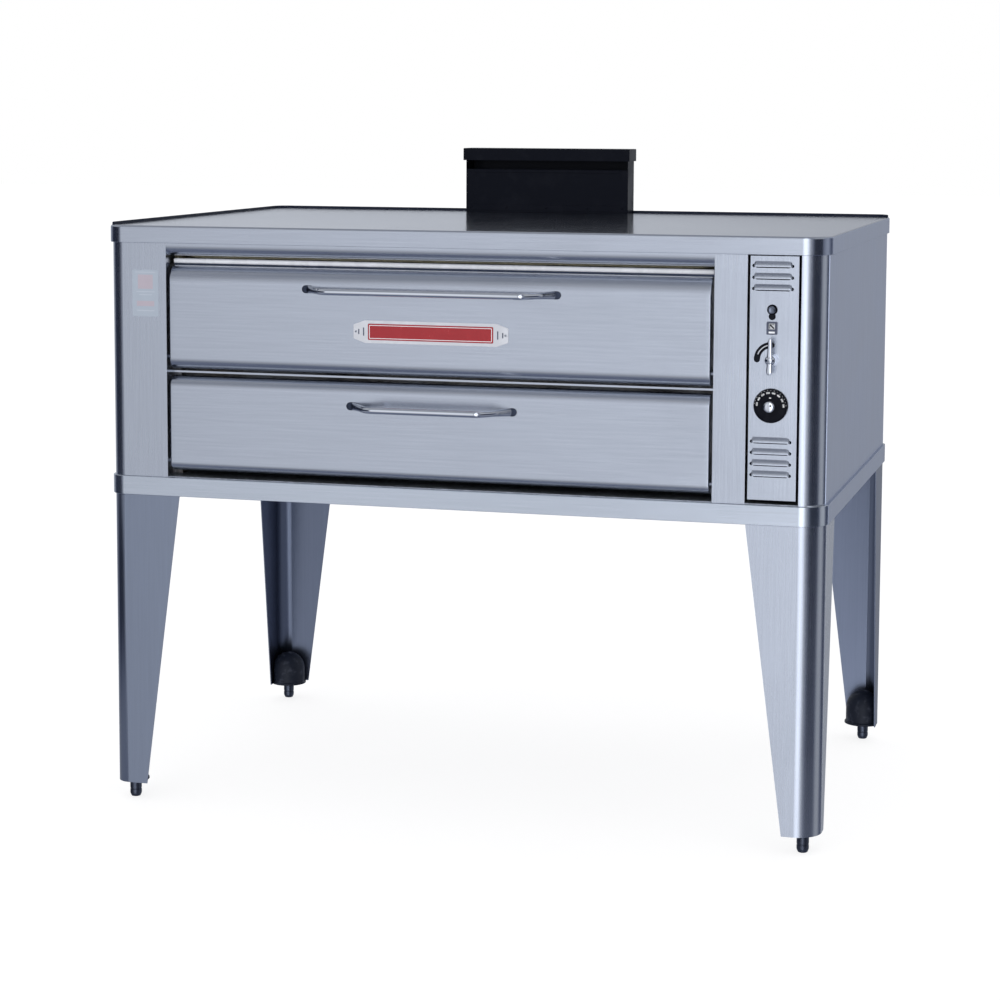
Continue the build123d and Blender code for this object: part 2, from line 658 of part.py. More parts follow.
def make_doors():
    upper = (
        UPPER_DOOR_THICKNESS,
        UPPER_DOOR_BOTTOM,
        UPPER_DOOR_CURVE_START,
        UPPER_DOOR_TOP,
        UPPER_DOOR_TOP_RADIUS,
    )
    lower = (
        LOWER_DOOR_THICKNESS,
        LOWER_DOOR_BOTTOM,
        LOWER_DOOR_CURVE_START,
        LOWER_DOOR_TOP,
        LOWER_DOOR_TOP_RADIUS,
    )
    save("upper_door_skin", door_skin(*upper) + top_bead())
    save("upper_door_liner", door_liner(*upper))
    save("upper_door_pins", hinge_pins(*PIN_AXES[0]))
    save("upper_door_handle", handle(UPPER_HANDLE_ENDS, UPPER_HANDLE_HEIGHT))
    save("lower_door_skin", door_skin(*lower))
    save("lower_door_liner", door_liner(*lower))
    save("lower_door_pins", hinge_pins(*PIN_AXES[1]))
    save("lower_door_handle", handle(LOWER_HANDLE_ENDS, LOWER_HANDLE_HEIGHT))
    save("nameplate", nameplate())


def hinge_bushing(near_end, far_end, depth, height):
    ring = rod_x(near_end, far_end, depth, height, BUSHING_RADIUS)
    bore = rod_x(near_end - CUT, far_end + CUT, depth, height, PIN_RADIUS + RUNNING_GAP)
    return ring - bore


def torsion_spring(start, depth, height):
    """A close-wound counterbalance spring around a hinge pin, with a leg against the stile."""
    length = SPRING_PITCH * SPRING_TURNS
    line = Helix(SPRING_PITCH, length, SPRING_RADIUS)
    section = Plane(origin=line @ 0, z_dir=line % 0) * Circle(SPRING_WIRE)
    coil = sweep(section, path=line, is_frenet=True)
    leg_length = depth - SHEET
    leg_place = Pos(SPRING_RADIUS, -leg_length / 2, 0) * Rot(90, 0, 0)
    leg_wire = leg_place * Cylinder(SPRING_WIRE, leg_length)
    return Pos(start, FRONT_Y + depth, height) * Rot(0, 90, 0) * (coil + leg_wire)


def make_hinge_hardware():
    left = OPENING_LEFT - SHEET
    right = OPENING_RIGHT + SHEET
    coil_length = SPRING_PITCH * SPRING_TURNS
    left_start = left - BUSHING_LENGTH - SPRING_GAP - coil_length
    right_start = right + BUSHING_LENGTH + SPRING_GAP
    bushings = []
    springs = []
    for depth, height in PIN_AXES:
        bushings.append(hinge_bushing(left - BUSHING_LENGTH, left, depth, height))
        bushings.append(hinge_bushing(right, right + BUSHING_LENGTH, depth, height))
        springs.append(torsion_spring(left_start, depth, height))
        springs.append(torsion_spring(right_start, depth, height))
    save("hinge_bushings", group(bushings))
    save("door_springs", group(springs))


# --- Controls --------------------------------------------------------------------------------
def louvre(height):
    """A pressed louvre, as its hood and what is hollow: a round hood over a downward slot."""
    radius = LOUVRE_HEIGHT / 2
    left = LOUVRE_CENTRE_X - LOUVRE_WIDTH / 2
    right = LOUVRE_CENTRE_X + LOUVRE_WIDTH / 2
    hood = rod_x(left, right, 0, height, radius)
    in_front = (PANEL_LEFT, PANEL_RIGHT, -LOUVRE_REACH, LOUVRE_ROOT)
    hood = hood & block(*in_front, height - radius, height + radius)
    inside = (left + LOUVRE_SHEET, right - LOUVRE_SHEET)
    hollow = rod_x(*inside, 0, height, radius - LOUVRE_SHEET)
    mouth_top = height - radius * LOUVRE_MOUTH
    mouth = block(*inside, -LOUVRE_REACH - CUT, LOUVRE_ROOT, height - radius - CUT, mouth_top)
    return hood, hollow + mouth


def control_panel():
    """A flanged panel with louvres above and below the controls."""
    panel = block(PANEL_LEFT, PANEL_RIGHT, 0, SHEET, PANEL_BOTTOM, PANEL_TOP)
    for left in (PANEL_LEFT, PANEL_RIGHT - THIN_SHEET):
        panel += block(left, left + THIN_SHEET, 0, FLANGE_DEPTH, PANEL_BOTTOM, PANEL_TOP)
    for height in LOUVRE_HEIGHTS:
        hood, hollow = louvre(height)
        panel = panel + hood - hollow
    holes = (
        (DIAL_HEIGHT, SHAFT_RADIUS + CLEARANCE),
        (LEVER_HEIGHT, VALVE_NECK_RADIUS + CLEARANCE),
        (BUTTON_HEIGHT, BUTTON_STEM_RADIUS + CLEARANCE),
    )
    for height, radius in holes:
        panel -= rod_y(CONTROL_X, -CUT, SHEET + CUT, height, radius)
    return panel


def escutcheon():
    """A keyhole-shaped plate under the push-button."""
    disc = Circle(ESCUTCHEON_RADIUS)
    lobe = Pos(0, -ESCUTCHEON_LOBE_DROP) * Circle(ESCUTCHEON_LOBE_RADIUS)
    hole = Circle(BUTTON_STEM_RADIUS + CLEARANCE)
    outline = disc + lobe - hole
    plate = plate_on_front(outline, CONTROL_X, BUTTON_HEIGHT, -ESCUTCHEON_SHEET, 0)
    boss_height = BUTTON_HEIGHT - ESCUTCHEON_LOBE_DROP
    boss_near = -ESCUTCHEON_SHEET - ESCUTCHEON_BOSS_RISE
    return plate + rod_y(CONTROL_X, boss_near, 0, boss_height, ESCUTCHEON_BOSS_RADIUS)


def push_button():
    back = BUTTON_LENGTH - BUTTON_FACE
    cap = rod_y(CONTROL_X, -BUTTON_FACE, back, BUTTON_HEIGHT, BUTTON_RADIUS)
    cap = fillet(cap.edges().group_by(Axis.Y)[0], BUTTON_EDGE_RADIUS)
    return cap + rod_y(CONTROL_X, back - CUT, BUTTON_STEM_END, BUTTON_HEIGHT, BUTTON_STEM_RADIUS)


def indicator():
    """A framed window with a small pane in its upper half."""
    outline = fillet(Rectangle(*WINDOW_SIZE).vertices(), WINDOW_CORNER_RADIUS)
    width, height = WINDOW_PANE
    pane = Pos(0, WINDOW_PANE_RISE) * Rectangle(width, height)
    hole = Pos(0, WINDOW_PANE_RISE) * Rectangle(width + RUNNING_GAP, height + RUNNING_GAP)
    place = (CONTROL_X, WINDOW_CENTRE_HEIGHT)
    bezel = plate_on_front(outline - hole, *place, -WINDOW_STAND, 0)
    lens = plate_on_front(pane, *place, WINDOW_RECESS - WINDOW_STAND, 0)
    return bezel, lens


def valve_quadrant():
    """A quarter arc beside the lever that marks its two ends of travel."""
    half = QUADRANT_WIDTH / 2
    side = 2 * QUADRANT_RADIUS
    ring = Circle(QUADRANT_RADIUS + half) - Circle(QUADRANT_RADIUS - half)
    corner = Pos(-QUADRANT_RADIUS, QUADRANT_RADIUS) * Rectangle(side, side)
    ends = Pos(0, QUADRANT_RADIUS) * Circle(half)
    ends += Pos(-QUADRANT_RADIUS, 0) * Circle(half)
    outline = (ring & corner) + ends
    return plate_on_front(outline, CONTROL_X, LEVER_HEIGHT, -QUADRANT_SHEET, 0)


def gas_valve():
    """The valve body behind the panel and, as a second solid, the nut in front of it."""
    half = VALVE_HALF_SIZE
    sides = (CONTROL_X - half, CONTROL_X + half, VALVE_FRONT, CONTROL_BODY_BACK)
    body = block(*sides, LEVER_HEIGHT - half, LEVER_HEIGHT + half)
    body += rod_y(CONTROL_X, -VALVE_NUT_LENGTH, VALVE_FRONT + CUT, LEVER_HEIGHT, VALVE_NECK_RADIUS)
    thermostat_top = DIAL_HEIGHT + THERMOSTAT_HALF_HEIGHT
    body += rod_z(CONTROL_X, MANIFOLD_DEPTH, thermostat_top, LEVER_HEIGHT, PIPE_RADIUS)
    bore_start = -VALVE_NUT_LENGTH - CUT
    body -= rod_y(CONTROL_X, bore_start, VALVE_BORE_END, LEVER_HEIGHT, STEM_RADIUS + RUNNING_GAP)
    hexagon = RegularPolygon(VALVE_NUT_RADIUS, 6)
    nut = plate_on_front(hexagon, CONTROL_X, LEVER_HEIGHT, -VALVE_NUT_LENGTH, 0)
    nut -= rod_y(CONTROL_X, bore_start, CUT, LEVER_HEIGHT, VALVE_NECK_RADIUS)
    return group([body, nut])


def valve_lever():
    """A two-ended lever on the valve stem: long arm up, short arm down."""
    near = -LEVER_STAND - LEVER_THICKNESS
    length = LEVER_UP + LEVER_DOWN
    middle = (LEVER_UP - LEVER_DOWN) / 2
    outline = Pos(0, middle) * Rot(0, 0, 90) * SlotOverall(length, LEVER_WIDTH)
    arm = plate_on_front(outline, CONTROL_X, LEVER_HEIGHT, near, -LEVER_STAND)
    hub_back = -VALVE_NUT_LENGTH - LEVER_HUB_GAP
    hub = rod_y(CONTROL_X, near - LEVER_HUB_RISE, hub_back, LEVER_HEIGHT, LEVER_HUB_RADIUS)
    return arm + hub + rod_y(CONTROL_X, hub_back - CUT, SHAFT_END, LEVER_HEIGHT, STEM_RADIUS)


def thermostat_dial():
    near = -DIAL_GAP - DIAL_THICKNESS
    disc = rod_y(CONTROL_X, near, -DIAL_GAP, DIAL_HEIGHT, DIAL_RADIUS)
    disc = fillet(disc.edges().group_by(Axis.Y)[0], DIAL_EDGE_RADIUS)
    return disc + rod_y(CONTROL_X, -DIAL_GAP - CUT, SHAFT_END, DIAL_HEIGHT, SHAFT_RADIUS)


def thermostat_knob():
    far = -DIAL_GAP - DIAL_THICKNESS
    knob = rod_y(CONTROL_X, far - KNOB_LENGTH, far, DIAL_HEIGHT, KNOB_RADIUS)
    return fillet(knob.edges().group_by(Axis.Y)[0], KNOB_EDGE_RADIUS)


def thermostat_body():
    left = CONTROL_X - THERMOSTAT_HALF_WIDTH
    right = CONTROL_X + THERMOSTAT_HALF_WIDTH
    bottom = DIAL_HEIGHT - THERMOSTAT_HALF_HEIGHT
    top = DIAL_HEIGHT + THERMOSTAT_HALF_HEIGHT
    body = block(left, right, THERMOSTAT_FRONT, CONTROL_BODY_BACK, bottom, top)
    bore_radius = SHAFT_RADIUS + RUNNING_GAP
    return body - rod_y(CONTROL_X, 0, THERMOSTAT_BORE_END, DIAL_HEIGHT, bore_radius)


def make_controls():
    save("control_panel", control_panel())
    save("igniter_escutcheon", escutcheon())
    save("igniter_button", push_button())
    bezel, lens = indicator()
    save("indicator_bezel", bezel)
    save("indicator_lens", lens)
    save("valve_quadrant", valve_quadrant())
    save("gas_valve_body", gas_valve())
    save("gas_valve_lever", valve_lever())
    save("thermostat_dial", thermostat_dial())
    save("thermostat_knob", thermostat_knob())
    save("thermostat_body", thermostat_body())


# --- Oven inside -----------------------------------------------------------------------------
def chamber_liner():
    """Three sheets: two side walls with front flanges, and the rear wall."""
    front = CHAMBER_FRONT
    bottom = FLOOR_OF_BODY
    top = CHAMBER_CEILING
    left = CHAMBER_LEFT - SHEET
    right = CHAMBER_RIGHT + SHEET
    rear = CHAMBER_BACK + SHEET
    flange_near = front - SHEET
    left_flange = CHAMBER_LEFT - CHAMBER_FLANGE
    right_flange = CHAMBER_RIGHT + CHAMBER_FLANGE
    left_wall = block(left, CHAMBER_LEFT, front, CHAMBER_BACK, bottom, top)
    left_wall += block(left_flange, CHAMBER_LEFT, flange_near, front, bottom, top)
    right_wall = block(CHAMBER_RIGHT, right, front, CHAMBER_BACK, bottom, top)
    right_wall += block(CHAMBER_RIGHT, right_flange, flange_near, front, bottom, top)
    right_wall -= manifold_way()
    rear_wall = block(left, right, CHAMBER_BACK, rear, bottom, top)
    return group([left_wall, right_wall, rear_wall])


def chamber_ceiling():
    """The sheet over the chamber, with the hole that leads to the flue."""
    bottom = CHAMBER_CEILING
    top = bottom + SHEET
    near, far = [CHAMBER_BACK - depth for depth in FLUE_HOLE_DEPTHS]
    hole = (HOOD_LEFT + FLUE_HOLE_INSET, HOOD_RIGHT - FLUE_HOLE_INSET, near, far)
    sides = (CHAMBER_LEFT - SHEET, CHAMBER_RIGHT + SHEET, JAMB_DEPTH, CHAMBER_BACK + SHEET)
    return block(*sides, bottom, top) - block(*hole, bottom - CUT, top + CUT)


def manifold_way():
    """The hole that the manifold passes through in the chamber's wall and the partition."""
    ends = (CHAMBER_RIGHT - CUT, PARTITION_X + SHEET + CUT)
    return rod_x(*ends, MANIFOLD_DEPTH, BURNER_HEIGHT, PIPE_RADIUS + CUT)


def hearth_stones():
    span = CHAMBER_RIGHT - CHAMBER_LEFT - HEARTH_JOINT * (HEARTH_SLABS + 1)
    width = span / HEARTH_SLABS
    bottom = HEARTH_TOP - HEARTH_THICKNESS
    near = CHAMBER_FRONT + HEARTH_FRONT_GAP
    far = CHAMBER_BACK - HEARTH_JOINT
    slabs = []
    for index in range(HEARTH_SLABS):
        left = CHAMBER_LEFT + HEARTH_JOINT + index * (width + HEARTH_JOINT)
        slab = block(left, left + width, near, far, bottom, HEARTH_TOP)
        slabs.append(chamfer(slab.edges().group_by(Axis.Z)[-1], HEARTH_CHAMFER))
    return group(slabs)


def deck_supports():
    """Angle bars across the oven under the hearth."""
    top = HEARTH_TOP - HEARTH_THICKNESS
    sides = (CHAMBER_LEFT, CHAMBER_RIGHT)
    bars = []
    for near in SUPPORT_DEPTHS:
        shelf = block(*sides, near, near + SUPPORT_SIZE, top - SUPPORT_SHEET, top)
        web = block(*sides, near, near + SUPPORT_SHEET, top - SUPPORT_SIZE, top)
        bars.append(shelf + web)
    return group(bars)


def heat_baffle():
    """A shallow inverted tray between the burners and the hearth."""
    sides = (CHAMBER_LEFT, CHAMBER_RIGHT)
    front = CHAMBER_FRONT + BAFFLE_INSET
    back = CHAMBER_BACK - BAFFLE_INSET
    plate = block(*sides, front, back, BAFFLE_HEIGHT, BAFFLE_HEIGHT + SHEET)
    for near in (front, back - SHEET):
        plate += block(*sides, near, near + SHEET, BAFFLE_HEIGHT - BAFFLE_DROP, BAFFLE_HEIGHT)
    return plate


def burner_places():
    """The burners' x, each in the middle of its share of the oven's width."""
    share = (CHAMBER_RIGHT - CHAMBER_LEFT) / BURNERS
    return [CHAMBER_LEFT + share * (index + 1 / 2) for index in range(BURNERS)]


def burner_tube(x):
    """A straight pipe burner with sawn ports along its top and a closed rear end."""
    front = BURNER_FRONT
    back = CHAMBER_BACK
    tube = rod_y(x, front, back, BURNER_HEIGHT, BURNER_RADIUS)
    tube -= rod_y(x, front + SHEET, back - SHEET, BURNER_HEIGHT, BURNER_RADIUS - SHEET)
    tube -= rod_y(x, front - CUT, front + SPUD_HOLE_DEPTH, BURNER_HEIGHT, SPUD_RADIUS + CLEARANCE)
    spacing = (back - front - PORTS_SPARE_LENGTH) / BURNER_PORTS
    reach = BURNER_RADIUS * PORT_REACH
    cut_top = BURNER_HEIGHT + BURNER_RADIUS + CUT
    for index in range(BURNER_PORTS):
        near = front + PORTS_FROM_MOUTH + index * spacing
        cut_bottom = BURNER_HEIGHT + reach
        tube -= block(x - reach, x + reach, near, near + PORT_WIDTH, cut_bottom, cut_top)
    return tube


def gas_manifold():
    """The pipe along the burners' mouths, one spud to each, and its riser to the thermostat."""
    start = burner_places()[0] - MANIFOLD_OVERRUN
    pipe = rod_x(start, CONTROL_X, MANIFOLD_DEPTH, BURNER_HEIGHT, PIPE_RADIUS)
    spud_end = BURNER_FRONT + SPUD_INSERTION
    for x in burner_places():
        pipe += rod_y(x, MANIFOLD_DEPTH, spud_end, BURNER_HEIGHT, SPUD_RADIUS)
    pipe += Pos(CONTROL_X, FRONT_Y + MANIFOLD_DEPTH, BURNER_HEIGHT) * Sphere(PIPE_RADIUS)
    riser_top = DIAL_HEIGHT - THERMOSTAT_HALF_HEIGHT
    return pipe + rod_z(CONTROL_X, MANIFOLD_DEPTH, BURNER_HEIGHT, riser_top, PIPE_RADIUS)


def gas_supply_pipe():
    """From the valve up, round one elbow and out behind as the inlet stub, past its locknut."""
    y = FRONT_Y + MANIFOLD_DEPTH
    start = (CONTROL_X, y, LEVER_HEIGHT + VALVE_HALF_SIZE)
    corner = (CONTROL_X, y, SUPPLY_HEIGHT)
    end = (CONTROL_X, FRONT_Y + BODY_DEPTH + REAR_REACH, SUPPLY_HEIGHT)
    path = FilletPolyline(start, corner, end, radius=PIPE_RADIUS * 2)
    mouth = Plane(origin=start, z_dir=(0, 0, 1))
    pipe = sweep(mouth * Circle(PIPE_RADIUS), path=path)
    locknut_far = BODY_DEPTH + LOCKNUT_LENGTH
    pipe += rod_y(CONTROL_X, BODY_DEPTH, locknut_far, SUPPLY_HEIGHT, LOCKNUT_RADIUS)
    return pipe - sweep(mouth * Circle(PIPE_RADIUS - PIPE_WALL), path=path)


def pilot_burner():
    """A thin pilot tube from the side wall to a small hood beside the right burner."""
    x = burner_places()[-1] + BURNER_RADIUS + PILOT_OFFSET
    height = BURNER_HEIGHT + PILOT_RISE
    below, above = PILOT_HOOD_ENDS
    tube = rod_x(x, CHAMBER_RIGHT, PILOT_DEPTH, height, PILOT_TUBE_RADIUS)
    return tube + rod_z(x, PILOT_DEPTH, height - below, height + above, PILOT_HOOD_RADIUS)


def partition():
    """The wall between the insulation and the control compartment."""
    far = BODY_DEPTH - SHEET
    top = CAP_INSIDE - SHEET
    wall = block(PARTITION_X, PARTITION_X + SHEET, CHAMBER_FRONT, far, FLOOR_OF_BODY, top)
    return wall - manifold_way()


def insulation():
    """Mineral wool batts around the liner: left, right, top and rear."""
    gap = BATT_GAP
    low = FLOOR_OF_BODY + gap
    top = CAP_INSIDE - SHEET
    near = CHAMBER_FRONT + SHEET
    far = CHAMBER_BACK
    rear_near = CHAMBER_BACK + SHEET + gap
    rear_far = BODY_DEPTH - SHEET - BATT_REAR_GAP
    left_wall = CHAMBER_LEFT - SHEET - gap
    right_wall = CHAMBER_RIGHT + SHEET + gap
    right_end = PARTITION_X - gap
    shell = HALF_WIDTH - SHEET - gap
    flue = (HOOD_LEFT, HOOD_RIGHT, CHAMBER_BACK - BATT_FLUE_GAP, BODY_DEPTH)
    flue_zone = block(*flue, CHAMBER_CEILING, CAP_TOP)
    left = block(-shell, left_wall, near, far, low, top)
    right = block(right_wall, right_end, near, far, low, top) - manifold_way()
    roof = block(left_wall, right_wall, near, far, CHAMBER_CEILING + SHEET + gap, top)
    rear = block(CORNER_RETURN - shell, right_end, rear_near, rear_far, low, top)
    return group([left, right, roof - flue_zone, rear - flue_zone])


def make_oven_inside():
    save("chamber_liner", chamber_liner())
    save("chamber_ceiling", chamber_ceiling())
    save("hearth_stones", hearth_stones())
    save("deck_supports", deck_supports())
    save("heat_baffle", heat_baffle())
    save("burner_tubes", group(burner_tube(x) for x in burner_places()))
    save("gas_manifold", gas_manifold())
    save("gas_supply_pipe", gas_supply_pipe())
    save("pilot_burner", pilot_burner())
    save("control_box_wall", partition())
    save("insulation_batts", insulation())


os.makedirs("parts", exist_ok=True)
make_stand()
make_body_shell()
save("draft_hood", draft_hood())
save("draft_hood_lid", draft_hood_lid())
make_doors()
make_hinge_hardware()
make_controls()
make_oven_inside()
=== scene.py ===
import math

import bmesh
import bpy
from mathutils import Matrix, Vector, noise


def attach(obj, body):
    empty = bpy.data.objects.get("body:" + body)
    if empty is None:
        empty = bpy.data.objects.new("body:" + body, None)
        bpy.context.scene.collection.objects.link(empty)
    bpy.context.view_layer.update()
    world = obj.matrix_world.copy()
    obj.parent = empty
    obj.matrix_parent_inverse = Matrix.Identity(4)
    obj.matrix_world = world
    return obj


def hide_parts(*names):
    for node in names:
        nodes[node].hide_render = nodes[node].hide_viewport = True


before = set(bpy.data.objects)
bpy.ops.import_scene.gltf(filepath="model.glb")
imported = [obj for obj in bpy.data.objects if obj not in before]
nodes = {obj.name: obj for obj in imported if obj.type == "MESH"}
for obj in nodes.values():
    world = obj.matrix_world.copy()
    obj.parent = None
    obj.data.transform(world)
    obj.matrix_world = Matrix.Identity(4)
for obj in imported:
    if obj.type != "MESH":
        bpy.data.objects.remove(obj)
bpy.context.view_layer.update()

MM = 0.001
OVEN = "oven_body"
UPPER = "upper_door"
LOWER = "lower_door"


# --- Shader helpers -----------------------------------------------------------------------
def add_node(tree, kind, inputs=(), **settings):
    """Adds a node; each input's value is a number, a tuple or another node's socket."""
    node = tree.nodes.new("ShaderNode" + kind)
    for name, value in settings.items():
        setattr(node, name, value)
    for name, value in dict(inputs).items():
        if isinstance(value, bpy.types.NodeSocket):
            tree.links.new(value, node.inputs[name])
        else:
            node.inputs[name].default_value = value
    return node


def calculate(tree, operation, *values):
    """A math node over numbers and sockets."""
    return add_node(tree, "Math", enumerate(values), operation=operation).outputs[0]


class Shader:
    """A node material under construction: short calls that add and link nodes."""

    def __init__(self, name):
        self.material = bpy.data.materials.new(name)
        self.material.use_nodes = True
        self.tree = self.material.node_tree
        self.tree.nodes.clear()
        self.bsdf = self.add("BsdfPrincipled")
        self.add("OutputMaterial", {"Surface": self.bsdf.outputs["BSDF"]})
        coordinates = self.add("TexCoord")
        self.position = coordinates.outputs["Object"]
        self.normal = coordinates.outputs["Normal"]

    def add(self, kind, inputs=(), **settings):
        return add_node(self.tree, kind, inputs, **settings)

    def set(self, **sockets):
        for name, value in sockets.items():
            self.bsdf.inputs[name.replace("_", " ")].default_value = value
        return self

    def wire(self, value, socket):
        self.tree.links.new(value, self.bsdf.inputs[socket])

    def place(self, scale):
        """The position scaled, by one number or by three that stretch a texture."""
        scale = scale if isinstance(scale, tuple) else (scale, scale, scale)
        return self.add("Mapping", {"Scale": scale, "Vector": self.position}).outputs["Vector"]

    def noise(self, scale, detail=3.0, roughness=0.55, distortion=0.0):
        return self.add("TexNoise", {
            "Vector": self.place(scale), "Scale": 1.0, "Detail": detail, "Roughness": roughness,
            "Distortion": distortion,
        }).outputs["Fac"]

    def patches(self, low, high, *texture):
        """Noise as patches: 0 where it is below the low level and 1 above the high one."""
        return self.remap(self.noise(*texture), low, high, 0.0, 1.0)

    def cells(self, scale, output="Distance"):
        return self.add("TexVoronoi", {"Vector": self.place(scale), "Scale": 1.0}).outputs[output]

    def remap(self, value, low, high, to_low, to_high):
        return self.add("MapRange", {
            "Value": value, "From Min": low, "From Max": high, "To Min": to_low, "To Max": to_high,
        }).outputs["Result"]

    def math(self, operation, first, second):
        return calculate(self.tree, operation, first, second)

    def blend(self, first, first_share, second, second_share):
        """Two patterns added in their shares."""
        parts = [self.math("MULTIPLY", *part) for part in ((first, first_share), (second, second_share))]
        return self.math("ADD", *parts)

    def mix(self, factor, first, second):
        """A colour between two, where each colour is a tuple or another mix."""
        first, second = ((*each, 1.0) if isinstance(each, tuple) else each for each in (first, second))
        return self.add("Mix", {"Factor": factor, 6: first, 7: second}, data_type="RGBA").outputs[2]

    def colour(self, factor, first, second):
        self.wire(self.mix(factor, first, second), "Base Color")

    def rough(self, value, to_low, to_high, low=0.0, high=1.0):
        self.wire(self.remap(value, low, high, to_low, to_high), "Roughness")

    def across(self, axis):
        """How squarely the surface faces one of the object's own axes, 0 to 1."""
        split = self.add("SeparateXYZ", {"Vector": self.normal})
        return self.math("ABSOLUTE", split.outputs[axis], 0.0)

    def relief(self, *layers):
        """Bumps over one another, each of (pattern, distance, strength)."""
        inputs = {}
        for height, distance, strength in layers:
            inputs |= {"Strength": strength, "Distance": distance, "Height": height}
            inputs["Normal"] = self.add("Bump", inputs).outputs["Normal"]
        self.wire(inputs["Normal"], "Normal")


def scaled(colour, factor, lift=0.0):
    return tuple(channel * factor + lift for channel in colour)


# --- Materials ----------------------------------------------------------------------------
STEEL = (0.625, 0.655, 0.715)


def brushed(name, along, colour=STEEL, roughness=0.24, contrast=0.055):
    """Sheet brushed along one axis; a face that looks along that axis is brushed upright."""
    shader = Shader(name)
    axis = "xyz".index(along)
    lengthwise, fine, coarse = 7.0, 1500.0, 330.0

    def grain(pitch, detail):
        main, end = [pitch] * 3, [pitch] * 3
        main[axis] = lengthwise
        end[0 if along == "z" else 2] = lengthwise
        return shader.add("Mix", {
            0: shader.remap(shader.across(axis), 0.6, 0.8, 0.0, 1.0),
            2: shader.noise(tuple(main), detail), 3: shader.noise(tuple(end), detail),
        }, data_type="FLOAT").outputs[0]

    hairlines = grain(fine, 2.0)
    bands = grain(coarse, 3.0)
    wiped = shader.noise((2.6, 2.6, 3.4), 4.0, 0.6, 0.6)
    shade = shader.remap(shader.blend(bands, 0.55, wiped, 0.45), 0.3, 0.7, 0.0, 1.0)
    shader.colour(shade, scaled(colour, 1 - contrast), scaled(colour, 1 + contrast))
    wear = 0.10  # of the roughness, from the hairlines and from the wipe marks
    rough = shader.blend(hairlines, wear, wiped, wear)
    shader.wire(shader.math("ADD", rough, roughness - wear), "Roughness")
    shader.relief((bands, 0.00006, 0.5), (hairlines, 0.00003, 0.6))
    return shader.set(Metallic=1.0).material


def galvanised():
    """Zinc-coated sheet with a spangle."""
    shader = Shader("galvanised_sheet")
    spangle = shader.add("SeparateColor", {"Color": shader.cells(85.0, "Color")}).outputs
    shader.colour(spangle[0], (0.40, 0.43, 0.47), (0.56, 0.59, 0.64))
    shader.rough(shader.noise(9.0, 4.0), 0.36, 0.52, 0.3, 0.7)
    shader.relief((spangle[1], 0.00004, 0.4))
    return shader.set(Metallic=0.9).material


def heated_steel():
    """Aluminised sheet with straw and blue heat tints."""
    shader = Shader("heat_stained_steel")
    tint = shader.patches(0.35, 0.65, 4.5, 5.0, 0.6, 1.2)
    soot = shader.patches(0.45, 0.75, 11.0, 4.0)
    shader.colour(soot, shader.mix(tint, (0.36, 0.37, 0.40), (0.37, 0.33, 0.28)), (0.12, 0.11, 0.11))
    shader.rough(soot, 0.42, 0.7)
    shader.relief((shader.noise(260.0), 0.00008, 0.5))
    return shader.set(Metallic=0.85).material


def polished(name, colour, roughness):
    """Bright plating with faint wipe marks and pits."""
    shader = Shader(name)
    wipe = shader.noise((30.0, 90.0, 90.0), 4.0, 0.6)
    shader.colour(wipe, scaled(colour, 0.93), scaled(colour, 1.05))
    shader.rough(wipe, roughness * 0.7, roughness * 1.5, 0.3, 0.7)
    shader.relief((shader.noise(700.0, 2.0), 0.00002, 0.4))
    return shader.set(Metallic=1.0).material


def turned(name, colour, roughness):
    """Machined metal: fine rings of tool marks, stained in the hollows."""
    shader = Shader(name)
    marks = shader.noise((420.0, 420.0, 1800.0), 2.0)
    shader.colour(shader.patches(0.4, 0.7, 46.0, 4.0), colour, scaled(colour, 0.62))
    shader.rough(marks, roughness * 0.85, roughness * 1.25, 0.3, 0.7)
    shader.relief((marks, 0.00003, 0.5))
    return shader.set(Metallic=1.0).material


def painted(name, colour, roughness, peel=260.0, coat=0.0, shine=0.5):
    """Paint or enamel with orange peel and a little dust."""
    shader = Shader(name)
    dust = shader.patches(0.5, 0.8, 24.0, 5.0, 0.65)
    shader.colour(dust, colour, tuple(min(1.0, channel) for channel in scaled(colour, 1.22, 0.004)))
    shader.rough(dust, roughness * 0.9, min(1.0, roughness * 1.35))
    shader.relief((shader.noise(peel, 2.0), 0.00005, 0.5))
    return shader.set(Specular_IOR_Level=shine, Coat_Weight=coat, Coat_Roughness=0.08).material


def cast(name, colour, roughness=0.5, metallic=0.0, shine=0.5):
    """A sand casting or scaled iron: grainy, with worn high spots."""
    shader = Shader(name)
    worn = shader.patches(0.52, 0.72, 60.0, 5.0, 0.6)
    shader.colour(worn, colour, scaled(colour, 1.9, 0.02))
    shader.rough(worn, roughness, roughness * 0.72)
    shader.relief((shader.noise(150.0, 4.0, 0.6), 0.0005, 0.5), (shader.noise(900.0, 2.0), 0.00012, 0.5))
    return shader.set(Metallic=metallic, Specular_IOR_Level=shine).material


def moulded(name, colour, roughness=0.42, shine=0.5):
    """Moulded plastic with a fine spark-eroded texture."""
    shader = Shader(name)
    scuff = shader.patches(0.5, 0.75, 55.0, 5.0, 0.7)
    shader.colour(scuff, colour, scaled(colour, 1.3, 0.006))
    shader.rough(scuff, roughness, roughness * 1.3)
    shader.relief((shader.noise(1600.0, 2.0), 0.00003, 0.5))
    return shader.set(Specular_IOR_Level=shine).material


def lens_glass():
    """A clear moulding with a pebbled face."""
    shader = Shader("moulded_lens")
    haze = shader.noise(120.0)
    shader.colour(haze, (0.80, 0.85, 0.92), (0.93, 0.95, 0.98))
    shader.rough(haze, 0.06, 0.16, 0.3, 0.7)
    shader.relief((shader.cells(900.0), 0.0001, 0.35))
    return shader.set(Transmission_Weight=0.35, IOR=1.49, Coat_Weight=0.5).material


